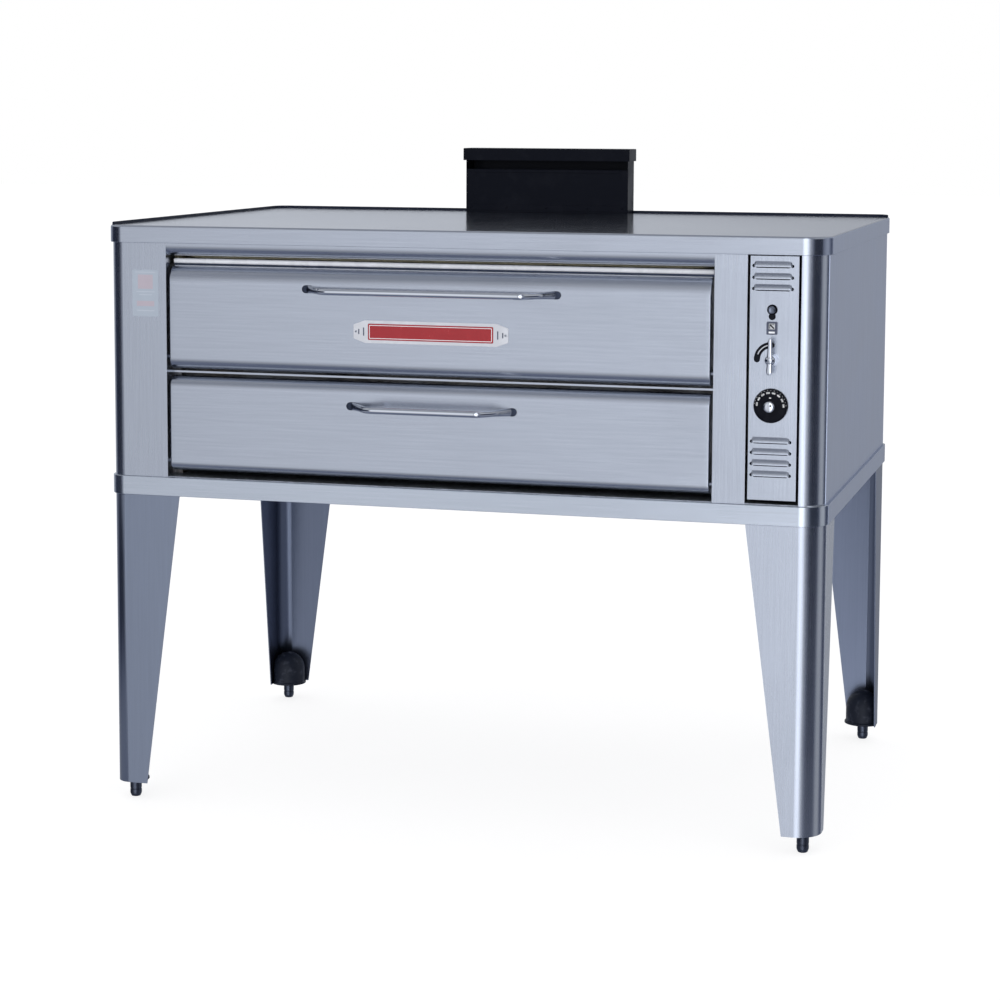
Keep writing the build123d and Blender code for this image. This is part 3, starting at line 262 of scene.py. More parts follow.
def refractory():
    """Pressed stone: speckled, with darker baked patches and flour dust."""
    shader = Shader("hearth_refractory")
    patch = shader.patches(0.42, 0.68, 6.0, 5.0, 0.6, 0.8)
    speck = shader.remap(shader.cells(260.0), 0.0, 0.35, 0.0, 1.0)
    shader.colour(speck, (0.66, 0.63, 0.58), shader.mix(patch, (0.52, 0.47, 0.40), (0.27, 0.22, 0.17)))
    shader.rough(patch, 0.9, 0.75)
    shader.relief((shader.noise(90.0, 5.0, 0.65), 0.0007, 0.5), (shader.noise(800.0, 2.0), 0.00015, 0.5))
    return shader.material


def mineral_wool():
    """A felted mat of pale yellow fibres."""
    shader = Shader("mineral_wool_mat")
    fibre = shader.noise((300.0, 60.0, 900.0), 5.0, 0.7, 1.5)
    clump = shader.noise(28.0, 4.0, 0.6)
    shader.colour(fibre, shader.mix(clump, (0.46, 0.40, 0.24), (0.70, 0.64, 0.44)), (0.80, 0.76, 0.58))
    shader.relief((clump, 0.002, 0.6), (fibre, 0.0008, 0.8))
    return shader.set(Roughness=0.95, Sheen_Weight=0.3, Sheen_Roughness=0.6).material


def printed_film(name, colour):
    """Thin adhesive film, a little mottled where it has aged."""
    shader = Shader(name)
    age = shader.noise(70.0, 4.0, 0.6)
    shader.colour(age, scaled(colour, 0.96), scaled(colour, 1.04))
    shader.rough(age, 0.32, 0.5, 0.3, 0.7)
    shader.relief((shader.noise(420.0, 2.0), 0.00002, 0.4))
    return shader.set(Coat_Weight=0.1, Coat_Roughness=0.25, Specular_IOR_Level=0.25).material


STEEL_ALONG = {axis: brushed(f"stainless_brushed_{axis}", axis) for axis in "xyz"}
TOP_STEEL = brushed("stainless_top", "x", roughness=0.14, contrast=0.07)
PANEL_STEEL = brushed("stainless_panel", "z", roughness=0.26)
# The same stainless as the front in a darker, bluer colour: painted shade on the sides; it is rougher too.
SHADED_SIDE_STEEL = brushed("stainless_side_painted_shade", "z", (0.53, 0.58, 0.70), 0.34, 0.10)
# The same stainless in a lighter colour: painted light on the front rail.
LIT_RAIL_STEEL = brushed("stainless_rail_painted_light", "x", (0.70, 0.74, 0.80))
LEG_STEEL = brushed("stainless_leg", "z", (0.61, 0.64, 0.70), 0.27)
# The same stainless, darker and bluer on the left and rear legs: painted shade.
SHADED_LEFT_LEG_STEEL = brushed("stainless_left_leg_painted_shade", "z", (0.355, 0.395, 0.485), 0.30)
SHADED_REAR_LEG_STEEL = brushed("stainless_rear_leg_painted_shade", "z", (0.225, 0.255, 0.335), 0.33)
ZINC_SHEET = galvanised()
OVEN_STEEL = heated_steel()
# The doors' steel bead in a pale satin paint so that it looks bright: painted highlight.
BEAD_PAINTED_HIGHLIGHT = painted("bead_painted_highlight", (0.70, 0.715, 0.76), 0.3, shine=0.4)
# Near-black paint on the cap's upstand: painted shade for a dark edge line.
EDGE_TRIM_PAINTED_SHADE = painted("dark_edge_painted_shade", (0.010, 0.014, 0.030), 0.5, shine=0.2)
CHROME = polished("chrome_plate", (0.83, 0.85, 0.89), 0.07)
KNOB_CHROME = polished("satin_chrome", (0.86, 0.87, 0.90), 0.16)
# Near-black steel: painted shade on the handles' pads and on the web under the doors' bead.
DARK_STEEL_PAINTED_SHADE = polished("dark_steel_painted_shade", (0.055, 0.065, 0.095), 0.34)
BUTTON_METAL = polished("grey_plated_button", (0.20, 0.22, 0.27), 0.24)
ZINC_PLATE = turned("zinc_plate", (0.40, 0.42, 0.47), 0.34)
FOOT_STEEL = turned("dark_foot_steel", (0.13, 0.145, 0.185), 0.38)
BRASS = turned("dull_brass", (0.58, 0.43, 0.20), 0.36)
DIE_CAST = cast("die_cast_metal", (0.42, 0.43, 0.46), 0.42, 0.9)
CAST_GLOSS = painted("black_stove_enamel", (0.003, 0.004, 0.008), 0.28, 120.0, shine=0.15)
NUT_STEEL = turned("valve_nut_steel", (0.62, 0.65, 0.72), 0.3)
CAST_BLACK = cast("black_casting", (0.009, 0.012, 0.022), 0.44, shine=0.25)
BURNER_IRON = cast("burner_iron_scale", (0.07, 0.055, 0.05), 0.68, 0.6)
BLACK_PAINT = painted("black_satin_paint", (0.0035, 0.0045, 0.009), 0.36, shine=0.08)
PIPE_PAINT = painted("black_pipe_coating", (0.02, 0.021, 0.024), 0.5, 120.0)
RED_ENAMEL = painted("red_glass_enamel", (0.30, 0.008, 0.013), 0.26, 90.0, 0.25)
PALE_ENAMEL = painted("pale_enamel", (0.74, 0.76, 0.80), 0.25, 90.0, 0.4)
PLATE_METAL = painted("nameplate_lacquer", (0.52, 0.535, 0.585), 0.35, 90.0, 0.2)
BLACK_PLASTIC = moulded("black_dial_plastic", (0.003, 0.0035, 0.007), shine=0.1)
DIAL_INK = printed_film("dial_ink", (0.80, 0.81, 0.84))
FRAME_PLASTIC = moulded("indicator_frame_plastic", (0.07, 0.08, 0.12), 0.3, 0.3)
LENS = lens_glass()
STONE = refractory()
WOOL = mineral_wool()
LABEL_FILM = printed_film("label_film", (0.33, 0.375, 0.445))
LABEL_PINK = printed_film("label_blocks", (0.385, 0.345, 0.40))
LABEL_LINE = printed_film("label_line", (0.40, 0.44, 0.51))
# Near-black: painted shade in the louvres' slots and pits, and the knob's pointer dot.
HOLLOW_SHADE_AND_DOT_BLACK = painted("unlit_hollow", (0.003, 0.004, 0.008), 0.7, shine=0.05)


# --- Mesh helpers -------------------------------------------------------------------------
def piece(name, mesh, material, body, replaces, smooth_angle):
    """Links a bmesh as a finished piece that rides on a body."""
    built = bpy.data.meshes.new(name)
    bmesh.ops.recalc_face_normals(mesh, faces=mesh.faces[:])
    mesh.to_mesh(built)
    mesh.free()
    for each in material if isinstance(material, (list, tuple)) else (material,):
        built.materials.append(each)
    smooth(built, smooth_angle)
    shown = bpy.data.objects.new(name, built)
    bpy.context.scene.collection.objects.link(shown)
    flat = shown.modifiers.new("flat_faces", "WEIGHTED_NORMAL")
    flat.keep_sharp = True
    flat.weight = 90
    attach(shown, body)
    if replaces:
        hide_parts(*replaces)
    return shown


def smooth(mesh, angle):
    """Smooth shading, with sharp edges where faces meet at more than an angle."""
    mesh.polygons.foreach_set("use_smooth", [True] * len(mesh.polygons))
    work = bmesh.new()
    work.from_mesh(mesh)
    limit = math.radians(angle)
    for edge in work.edges:
        edge.smooth = len(edge.link_faces) != 2 or edge.calc_face_angle() < limit
    work.to_mesh(mesh)
    work.free()


def in_metres(points):
    return [tuple(value * MM for value in point) for point in points]


def rotate(u, v, turn):
    """A flat point turned about the origin, counter-clockwise."""
    cos_turn, sin_turn = math.cos(turn), math.sin(turn)
    return u * cos_turn - v * sin_turn, u * sin_turn + v * cos_turn


def arc(centre, radius, start, end, steps):
    """Points on an arc, from one angle to another in degrees."""
    found = []
    for index in range(steps + 1):
        x, y = rotate(radius, 0.0, math.radians(start + (end - start) * index / steps))
        found.append((centre[0] + x, centre[1] + y))
    return found


def rounded_rectangle(width, height, radius, steps=5):
    found = []
    for side_x, side_y, start in ((1, 1, 0), (-1, 1, 90), (-1, -1, 180), (1, -1, 270)):
        centre = (side_x * (width / 2 - radius), side_y * (height / 2 - radius))
        found += arc(centre, radius, start, start + 90, steps)
    return found


def skin(mesh, low, high, closed=True):
    """Faces between two rows of vertices; a row of one vertex is a cone's tip."""
    count = max(len(low), len(high))
    for index in range(count if closed else count - 1):
        after = (index + 1) % count
        corners = ((low, index), (low, after), (high, after), (high, index))
        mesh.faces.new(list(dict.fromkeys(row[at % len(row)] for row, at in corners)))


def loft(rings, caps=True):
    """Skins a list of rings, each a list of the same number of 3-D points."""
    mesh = bmesh.new()
    rows = [[mesh.verts.new(point) for point in ring] for ring in rings]
    for low, high in zip(rows, rows[1:]):
        skin(mesh, low, high)
    if caps:
        mesh.faces.new(rows[0])
        mesh.faces.new(rows[-1])
    return mesh


def inset_ring(outline, amount):
    """A closed convex outline, counter-clockwise, moved inwards along its own normals."""
    moved = []
    count = len(outline)
    for index, (x, y) in enumerate(outline):
        before = Vector(outline[index - 1])
        after = Vector(outline[(index + 1) % count])
        here = Vector((x, y))
        first = here - before
        second = after - here
        if first.length < 1e-9:
            first = second
        if second.length < 1e-9:
            second = first
        first.normalize()
        second.normalize()
        middle = first + second
        middle.normalize()
        reach = amount / max(0.3, middle.dot(first))
        moved.append((x - middle.y * reach, y + middle.x * reach))
    return moved


def raised(outline, place, profile):
    """A plate or knob: the outline lifted to each height of a profile of (inset, height)."""
    rings = []
    for amount, height in profile:
        rings.append([place(x, y, height) for x, y in inset_ring(outline, amount)])
    return loft(rings)


def hoop(levels, place):
    """A closed frame round an opening, from levels of (outline, inset, height)."""
    rings = [[place(u, v, out) for u, v in inset_ring(outline, amount)] for outline, amount, out in levels]
    mesh = loft(rings + [rings[0]], caps=False)
    bmesh.ops.remove_doubles(mesh, verts=mesh.verts[:], dist=1e-7)
    return mesh


def turned_solid(profile, place, steps=48):
    """A round solid from a profile of (radius, height), with a flute depth where it is fluted.

    A zero radius closes an end."""
    mesh = bmesh.new()
    rows = []
    for radius, height, *flute in profile:
        if radius == 0.0:
            rows.append([mesh.verts.new(place(0, 0, height))])
            continue
        row = []
        for index, (x, y) in enumerate(arc((0, 0), radius, 0, 360, steps)[:-1]):
            share = 1 - flute[0] / radius if flute and index % 4 in (1, 2) else 1.0
            row.append(mesh.verts.new(place(x * share, y * share, height)))
        rows.append(row)
    for low, high in zip(rows, rows[1:]):
        skin(mesh, low, high)
    for row in (rows[0], rows[-1]):
        if len(row) > 1:
            mesh.faces.new(row)
    return mesh


def join(*meshes):
    """One bmesh that holds several."""
    whole = bmesh.new()
    for mesh in meshes:
        part = bpy.data.meshes.new("part")
        mesh.to_mesh(part)
        mesh.free()
        whole.from_mesh(part)
        bpy.data.meshes.remove(part)
    return whole


def paint_faces(mesh, index):
    for face in mesh.faces:
        face.material_index = index
    return mesh


# --- Finishes of the CAD nodes that stay --------------------------------------------------
FINISHES = (
    (STEEL_ALONG["x"], ("stand_rail_rear", "door_divider")),
    (SHADED_SIDE_STEEL, ("stand_rail_left", "stand_rail_right", "side_panel_left", "side_panel_right")),
    (SHADED_LEFT_LEG_STEEL, ("leg_front_left",)),
    (SHADED_REAR_LEG_STEEL, ("leg_rear_left", "leg_rear_right")),
    (PANEL_STEEL, ("front_stile_left", "front_stile_right")),
    (ZINC_SHEET, ("back_panel", "base_pan", "control_box_wall")),
    (OVEN_STEEL, ("chamber_liner", "chamber_ceiling", "deck_supports", "heat_baffle")),
    (OVEN_STEEL, ("upper_door_liner", "lower_door_liner")),
    (ZINC_PLATE, ("upper_door_pins", "lower_door_pins", "leg_bolts", "door_springs")),
    (BLACK_PAINT, ("draft_hood", "draft_hood_lid")),
    (STONE, ("hearth_stones",)),
    (BURNER_IRON, ("burner_tubes",)),
    (PIPE_PAINT, ("gas_manifold", "gas_supply_pipe")),
    (NUT_STEEL, ("gas_valve_body",)),
    (BRASS, ("hinge_bushings", "pilot_burner")),
    (DIE_CAST, ("thermostat_body",)),
)
SOFT_EDGES = (
    (0.6, ("draft_hood",)),
    (0.5, ("draft_hood_lid", "stand_rail_rear", "stand_rail_left", "stand_rail_right", "leg_front_left")),
    (0.5, ("leg_rear_left", "leg_rear_right", "upper_door_liner", "lower_door_liner")),
    (0.8, ("hearth_stones",)),
)


def finish_cad_nodes():
    """Puts the finishes on the kept nodes' own slots and eases their sharp edges."""
    for material, names in FINISHES:
        for slot in [slot for name in names for slot in nodes[name].material_slots]:
            slot.link = "OBJECT"
            slot.material = material
    for width, names in SOFT_EDGES:
        for name in names:
            weld = nodes[name].modifiers.new("weld", "WELD")
            weld.merge_threshold = 0.01 * MM
            bevel = nodes[name].modifiers.new("soft_edges", "BEVEL")
            bevel.width = width * MM
            bevel.segments = 2
            bevel.limit_method = "ANGLE"
            bevel.angle_limit = math.radians(35.0)
            bevel.harden_normals = True


finish_cad_nodes()


# --- The oven's measures, millimetres ---------------------------------------------------------
FRONT = -496.0  # the body's front plane
HALF = 762.0  # half its width
BACK = 516.0  # its back plane
CAP_BOTTOM = 1205.0
CAP_TOP = 1241.5
RAIL_TOP = 708.0
RAIL_BOTTOM = 668.0
CONTROL_X = 655.0
CORNER_RADIUS = 49.0  # of the control column's corner
SKIRT_OUT = 5.0  # how far the cap and the stand's rails stand out past the body
SKIRT_RADIUS = 37.0  # of their three plain corners
RAIL_RETURN = 40.0  # how far the front rail runs along each side
POST_DEPTH = 36.0  # how far the corner sheet runs along the side
FLUE_WAY = [(-231.0, 460.0), (130.0, 460.0), (130.0, 501.0), (-231.0, 501.0)]
FOOT_X, FOOT_FRONT, FOOT_REAR = 728.0, -462.0, 482.0
DOOR_LEFT, DOOR_RIGHT = -625.0, 533.0
OPENING_LEFT, OPENING_RIGHT = -631.0, 539.0


def level_ring(outline, height):
    """An outline in plan, at one height."""
    return in_metres([(x, y, height) for x, y in outline])


def upright_ring(outline, x):
    """An outline of (depth behind the front, height), at one x."""
    return in_metres([(x, FRONT + depth, height) for depth, height in outline])


# --- Corner shapes ----------------------------------------------------------------------------
def corner_path(half_width, offset=0.0, stop=None):
    """The front-right corner in plan, from the flat front round to the flat side.

    Offset moves it inwards; stop cuts it off at that depth behind the front."""
    over = half_width - HALF
    radius = CORNER_RADIUS + over
    centre = (half_width - radius, FRONT - over + radius)
    end = 0.0
    if stop is not None:
        end = math.degrees(math.asin((FRONT + stop - centre[1]) / (radius - offset)))
    return arc(centre, radius - offset, -90, end, 24)


def plain_corner(side_x, side_y, half_width, radius, steps=8):
    """A round corner in plan, for the three corners that are plain quarter circles."""
    over = half_width - HALF
    x = side_x * (half_width - radius)
    y = (FRONT - over + radius) if side_y < 0 else (BACK + over - radius)
    start = {(1, 1): 0, (-1, 1): 90, (-1, -1): 180}[side_x, side_y]
    return arc((x, y), radius, start, start + 90, steps)


def body_outline(half_width, radius, inset=0.0):
    """The body's outline in plan, counter-clockwise from the front-right corner."""
    outline = corner_path(half_width, inset)
    for side_x, side_y in ((1, 1), (-1, 1), (-1, -1)):
        outline += plain_corner(side_x, side_y, half_width - inset, radius - inset)
    return outline


def make_top_cap():
    """The pressed lid: a flat top that rolls over into a hemmed skirt."""
    bend, sheet, hem = 5.0, 2.0, 0.6
    profile = [
        (sheet, CAP_TOP - sheet), (sheet, CAP_BOTTOM + hem), (sheet - hem, CAP_BOTTOM),
        (hem, CAP_BOTTOM), (0.0, CAP_BOTTOM + hem),
    ]
    profile += [(bend - x, CAP_TOP - bend + y) for x, y in arc((0, 0), bend, 0, 90, 6)]
    profile += [(12.0, CAP_TOP), (26.0, CAP_TOP)]
    mesh = bmesh.new()
    rows = []
    for inset, height in profile:
        ring = level_ring(body_outline(HALF + SKIRT_OUT, SKIRT_RADIUS, inset), height)
        rows.append([mesh.verts.new(point) for point in ring])
    for low, high in zip(rows, rows[1:]):
        skin(mesh, low, high)
    upper = close_with_hole(mesh, rows[-1], FLUE_WAY, CAP_TOP)
    skin(mesh, upper, close_with_hole(mesh, rows[0], FLUE_WAY, CAP_TOP - sheet))
    mesh.normal_update()
    upright = 0.7  # the least part of a skirt face's normal that points out sideways
    # Sideways faces take the darker side steel, which is painted shade.
    for face in mesh.faces:
        if abs(face.normal.x) > upright:
            face.material_index = 1
        elif abs(face.normal.y) > upright:
            face.material_index = 2
    materials = [TOP_STEEL, SHADED_SIDE_STEEL, STEEL_ALONG["x"]]
    piece("top_cap_sheet", mesh, materials, OVEN, ["top_cap"], 40.0)


def close_with_hole(mesh, rim, hole, height):
    """Fills between a rim of vertices and a hole, both at one height; the hole's vertices."""
    inner = [mesh.verts.new(point) for point in level_ring(hole, height)]
    edges = []
    for ring in (rim, inner):
        for index in range(len(ring)):
            first, second = ring[index], ring[(index + 1) % len(ring)]
            edges.append(mesh.edges.get((first, second)) or mesh.edges.new((first, second)))
    bmesh.ops.triangle_fill(mesh, use_beauty=True, use_dissolve=False, edges=edges)
    return inner


def strip_wall(path_out, path_in, bottom, top, bevel=0.4):
    """A wall of sheet that follows a path in plan, as a closed band with eased edges."""
    rings = []
    for (xo, yo), (xi, yi) in zip(path_out, path_in):
        ex = (xi - xo) * bevel / 2.0
        ey = (yi - yo) * bevel / 2.0
        ring = [
            (xo, yo, bottom + bevel), (xo, yo, top - bevel),
            (xo + ex, yo + ey, top), (xi, yi, top), (xi, yi, bottom), (xo + ex, yo + ey, bottom),
        ]
        rings.append(in_metres(ring))
    return loft(rings)


def make_corner_post():
    """The control column's corner sheet, with its flange beside the control panel."""
    sheet, inside = 2.0, 712.0
    out = [(inside, FRONT), *corner_path(HALF, 0.0, POST_DEPTH)]
    back = [(inside, FRONT + sheet), *corner_path(HALF, sheet, POST_DEPTH)]
    wall = strip_wall(out, back, RAIL_TOP, CAP_TOP - sheet)
    flange = box_mesh(inside, inside + sheet, FRONT + sheet, FRONT + 18.0, 710.3, CAP_TOP - sheet)
    mesh = join(wall, flange)
    piece("corner_post_sheet", mesh, PANEL_STEEL, OVEN, ["corner_post_right"], 30.0)


def box_mesh(left, right, near, far, bottom, top, ease=0.3):
    """A box with its upright edges eased, in millimetres."""
    outline = [
        (left + ease, near), (right - ease, near), (right, near + ease), (right, far - ease),
        (right - ease, far), (left + ease, far), (left, far - ease), (left, near + ease),
    ]
    return loft([level_ring(outline, height) for height in (bottom, top)])


def make_front_rail():
    """The stand's front rail: a web that turns the corners, with a shelf under the oven."""
    sheet, half, shelf_reach = 3.0, HALF + SKIRT_OUT, 57.0
    left_out = plain_corner(-1, -1, half, SKIRT_RADIUS)
    left_in = plain_corner(-1, -1, half - sheet, SKIRT_RADIUS - sheet)
    right_in = corner_path(half, sheet, RAIL_RETURN)
    start = FRONT + RAIL_RETURN
    inner = half - sheet
    out = [(-half, start), *left_out, *corner_path(half, 0.0, RAIL_RETURN)]
    web = strip_wall(out, [(-inner, start), *left_in, *right_in], RAIL_BOTTOM, RAIL_TOP, 0.8)
    side, near = inner - shelf_reach, FRONT + shelf_reach - 2.0
    hollow = [(side, start), (side, near), (-side, near), (-side, start)]
    outline = [(-inner, start), *left_in, *right_in, *hollow]
    shelf = loft([level_ring(outline, height) for height in (RAIL_TOP - sheet, RAIL_TOP - 0.2)])
    bmesh.ops.triangulate(shelf, faces=[face for face in shelf.faces if len(face.verts) > 4])
    piece("front_rail_sheet", join(web, shelf), LIT_RAIL_STEEL, OVEN, ["stand_rail_front"], 30.0)


def sheet_ring(outline, thickness, x):
    """A ring at x for a sheet that follows an open outline of (depth, height), counter-clockwise."""
    closed = inset_ring(outline, thickness)
    (first_depth, first_height), (last_depth, last_height) = outline[0], outline[-1]
    inner = [(first_depth - thickness, first_height), *closed[1:-1], (last_depth - thickness, last_height)]
    return upright_ring([*outline, *inner[::-1]], x)


def make_door(name, node, body, thickness, bottom, curve_start, top, top_radius, bead_height=0.0):
    """A door shell: a pan whose foot is round about its pins and whose top curves back."""
    left, right, margin, sheet, ease = DOOR_LEFT, DOOR_RIGHT, 12.0, 1.5, 3.0
    half = thickness / 2
    pin = bottom + half
    turn = math.degrees(math.asin((top - curve_start) / top_radius))
    section = [(thickness, top)]
    section += arc((top_radius, curve_start), top_radius, 180 - turn, 180, 28)
    section += arc((half, pin), half, 180, 360, 36)
    parts = []
    for end, way in ((left, 1), (right, -1)):
        rings = []
        for index in range(6):
            angle = math.radians(18 * index)
            amount = ease * (1 - math.sin(angle))
            x = end + way * ease * (1 - math.cos(angle))
            outline = inset_ring(section, amount) if amount > 0.01 else section
            rings.append(upright_ring(outline, x))
        rings.append(upright_ring(section, end + way * margin))
        parts.append(loft(rings))
    around = [(thickness, top - margin), *section]
    parts.append(loft([sheet_ring(around, sheet, x) for x in (left + margin, right - margin)]))
    materials = [STEEL_ALONG["x"]]
    if bead_height:
        radius, depth = 5.25, 32.0
        length = right - left
        profile = [(0.0, 0.0), (radius - 1.5, 0.0), (radius - 0.5, 0.5), (radius, 1.6)]
        profile += [(size, length - along) for size, along in profile[::-1]]
        roll = turned_solid(profile, lambda u, v, along: (
            (left + along) * MM, (FRONT + depth + u) * MM, (bead_height + v) * MM), 32)
        # The bead takes the pale paint, a painted highlight.
        parts.append(paint_faces(roll, 1))
        # The web under the bead is near-black: painted shade for the dark crease below it.
        web = box_mesh(left, right, FRONT + depth - 1.0, FRONT + depth + 1.0, top - 1.0, bead_height)
        parts.append(paint_faces(web, 2))
        materials += [BEAD_PAINTED_HIGHLIGHT, DARK_STEEL_PAINTED_SHADE]
    piece(name, join(*parts), materials, body, [node], 30.0)


def make_header():
    """The fascia over the doors, whose lower edge rolls back."""
    sheet, radius, start, back = 2.0, 24.0, 1202.0, 50.0
    outline = [(back, start - radius), *arc((radius, start), radius, 270, 180, 28), (0.0, CAP_TOP - sheet)]
    inner = [(back, start - radius + sheet), *arc((radius, start), radius - sheet, 270, 180, 28)]
    inner.append((sheet, CAP_TOP - sheet))
    rings = [upright_ring([*outline, *inner[::-1]], x) for x in (OPENING_LEFT, OPENING_RIGHT)]
    piece("front_header_sheet", loft(rings), STEEL_ALONG["x"], OVEN, ["front_header"], 30.0)


def make_cap_trim():
    """A dark upstand along the cap's left and rear edges; its near-black colour is painted shade for the
    dark line there.
    """
    half, tall = HALF + SKIRT_OUT, 5.5
    outline = body_outline(half, SKIRT_RADIUS, 3.4)
    inner = body_outline(half, SKIRT_RADIUS, 7.4)
    run = [index for index, (x, y) in enumerate(outline) if y > 400.0 or x < -700.0]
    front_corner = [index for index in run if outline[index][0] < 0 and outline[index][1] < -400.0]
    run = [index for index in run if index not in front_corner[len(front_corner) // 2:]]
    foot, top, ease = CAP_TOP - 0.8, CAP_TOP + tall, 1.4
    section = ((0.0, foot), (0.0, top - ease), (0.3, top), (0.7, top), (1.0, top - ease), (1.0, foot))
    rings = []
    for (xo, yo), (xi, yi) in [(outline[index], inner[index]) for index in run]:
        rings.append(in_metres([
            (xo + (xi - xo) * share, yo + (yi - yo) * share, height) for share, height in section
        ]))
    piece("cap_upstand", loft(rings), EDGE_TRIM_PAINTED_SHADE, OVEN, (), 40.0)


def leg_width(height):
    """A leg's width, which grows from its foot to the rail and stays so behind the rail."""
    foot, head, foot_height = 75.0, 156.5, 38.0
    return foot + (head - foot) * min(1.0, (height - foot_height) / (RAIL_BOTTOM - foot_height))


def make_right_leg():
    """The front-right leg: a tapered angle of sheet with the body's own corner."""
    half, sheet = HALF + 1.7, 2.5
    path_out = corner_path(half)
    path_in = corner_path(half, sheet)
    front = FRONT - (half - HALF)
    rings = []
    for height in (38.0, 38.8, 200.0, 360.0, 520.0, 664.0, 704.7):
        width = leg_width(height)
        out = [(half - width, front), *path_out, (half, front + width)]
        inside = [(half - width, front + sheet), *path_in, (half - sheet, front + width)]
        rings.append(level_ring(out + inside[::-1], height))
    plate = box_mesh(half - 125.0, half - 22.0, front + 22.0, front + 125.0, 701.0, 704.9)
    mesh = join(loft(rings), plate)
    piece("leg_front_right_sheet", mesh, LEG_STEEL, OVEN, ["leg_front_right"], 30.0)


# --- Small shapes on the front ------------------------------------------------------------------
def front_at(x, height, base=0.0):
    """Places (across, up, out) on the oven's front, where out is towards the viewer."""
    return lambda u, v, out: ((x + u) * MM, (FRONT - base - out) * MM, (height + v) * MM)


def slot_outline(width, height, steps=8):
    """A flat-sided oblong with round ends, lying down."""
    radius = height / 2
    reach = width / 2 - radius
    return arc((reach, 0), radius, -90, 90, steps) + arc((-reach, 0), radius, 90, 270, steps)


def dome_profile(height, edge, crown=0.0):
    """Insets and heights of a plate whose edge is eased, from its back to its face."""
    found = [(0.0, 0.0), *((edge - x, height - edge + y) for x, y in arc((0, 0), edge, 0, 90, 4))]
    if crown:
        found += [(edge + crown, height + crown * 0.12), (edge + crown * 2, height + crown * 0.18)]
    return found


def bump_field(columns, rows, surface, thickness):
    """A sheet over a grid, with its surface given by a function, closed at its borders."""
    mesh = bmesh.new()
    front = [[mesh.verts.new(surface(u, v, 0.0)) for u in columns] for v in rows]
    back = [[mesh.verts.new(surface(u, v, thickness)) for u in columns] for v in rows]
    for layer in (front, back):
        for low, high in zip(layer, layer[1:]):
            skin(mesh, low, high, closed=False)
    for end in (0, -1):
        skin(mesh, front[end], back[end], closed=False)
        skin(mesh, [row[end] for row in front], [row[end] for row in back], closed=False)
    return mesh


# --- Control panel ------------------------------------------------------------------------------
LOUVRES = (1186.7, 1163.6, 1141.4, 838.6, 816.2, 793.8, 771.6)
LOUVRE_X = 655.5
LOUVRE_REACH = 5.6


def louvre_hood(height):
    """A pressed hood that rises from its top line to a lip over the mouth, with sloped ends."""
    place = front_at(LOUVRE_X, height)
    top, lip = 6.0, -5.2

    def surface(u, v, under):
        fall = (top - v) / (top - lip)
        half = 31.5 + 4.0 * fall
        out = LOUVRE_REACH * math.sin(min(1.0, fall * 1.12) * math.pi / 2) ** 1.25
        x = u * (half + 4.2)
        beyond = max(0.0, abs(x) - half) / 4.2
        out *= math.cos(min(1.0, beyond) * math.pi / 2) ** 0.7 if beyond < 1 else 0.0
        return place(x * (1 - under * 0.02), v - under * 0.15 * fall, max(out - under, -0.3) + 0.02)

    ends = [1 - 0.02 * index for index in range(7)]
    columns = [-value for value in ends] + [-0.6, -0.2, 0.2, 0.6] + ends[::-1]
    rows = [top - (top - lip) * (index / 10) ** 1.4 for index in range(11)]
    return bump_field(columns, rows, surface, 1.1)


def make_control_panel():
    """The louvred panel: its sheet and flanges, the hoods, and a near-black plate in each slot and pit,
    painted shade for the hollow behind.
    """
    left, right, bottom, top = 610.0, 707.0, 718.0, 1203.0
    width, tall = right - left, top - bottom
    face = raised(
        rounded_rectangle(width, tall, 1.2, 3), front_at((left + right) / 2, (bottom + top) / 2, -2.0),
        [(0.0, 0.0), (0.0, 1.4), (0.18, 1.8), (0.6, 2.0)],
    )
    parts = [face]
    for start in (left, right - 1.5):
        parts.append(box_mesh(start, start + 1.5, FRONT + 1.0, FRONT + 18.0, bottom, top))
    for height in LOUVRES:
        parts.append(louvre_hood(height))
        # A near-black plate under each hood: painted shade for the dark mouth.
        dark = raised(slot_outline(73.0, 11.0), front_at(LOUVRE_X, height - 2.1), [(0.0, -0.4), (0.0, 0.12)])
        parts.append(paint_faces(dark, 1))
        for side in (-1, 1):
            place = front_at(LOUVRE_X + side * 38.2, height - 3.4)
            # Near-black pits at the hood's ends: painted shade for the open ends.
            pit = turned_solid([(0.0, -0.4), (3.3, -0.4), (3.3, 0.1), (2.2, 0.5), (0.0, 0.55)], place, 20)
            parts.append(paint_faces(pit, 1))
    materials = [PANEL_STEEL, HOLLOW_SHADE_AND_DOT_BLACK]
    piece("control_panel_sheet", join(*parts), materials, OVEN, ["control_panel"], 32.0)


# --- Dial and knob --------------------------------------------------------------------------------
DIAL_HEIGHT = 907.0
DIAL_NUMBERS = (650, 600, 550, 500, 450, 400, 350, 300)


def lettering(text, size, place, turn):
    """Text as a flat solid, turned about the middle of the place that it is set on."""
    curve = bpy.data.curves.new("number", "FONT")
    curve.body = text
    curve.size = size
    curve.extrude = 0.09
    curve.offset = 0.12
    curve.resolution_u = 3
    curve.align_x = curve.align_y = "CENTER"
    holder = bpy.data.objects.new("number", curve)
    bpy.context.scene.collection.objects.link(holder)
    bpy.context.view_layer.update()
    flat = bpy.data.meshes.new_from_object(holder)
    bpy.data.objects.remove(holder)
    mesh = bmesh.new()
    mesh.from_mesh(flat)
    bpy.data.meshes.remove(flat)
    bmesh.ops.remove_doubles(mesh, verts=mesh.verts[:], dist=0.0005)
    spot = turned_place(place, turn)
    for vert in mesh.verts:
        vert.co = spot(*vert.co)
    return mesh


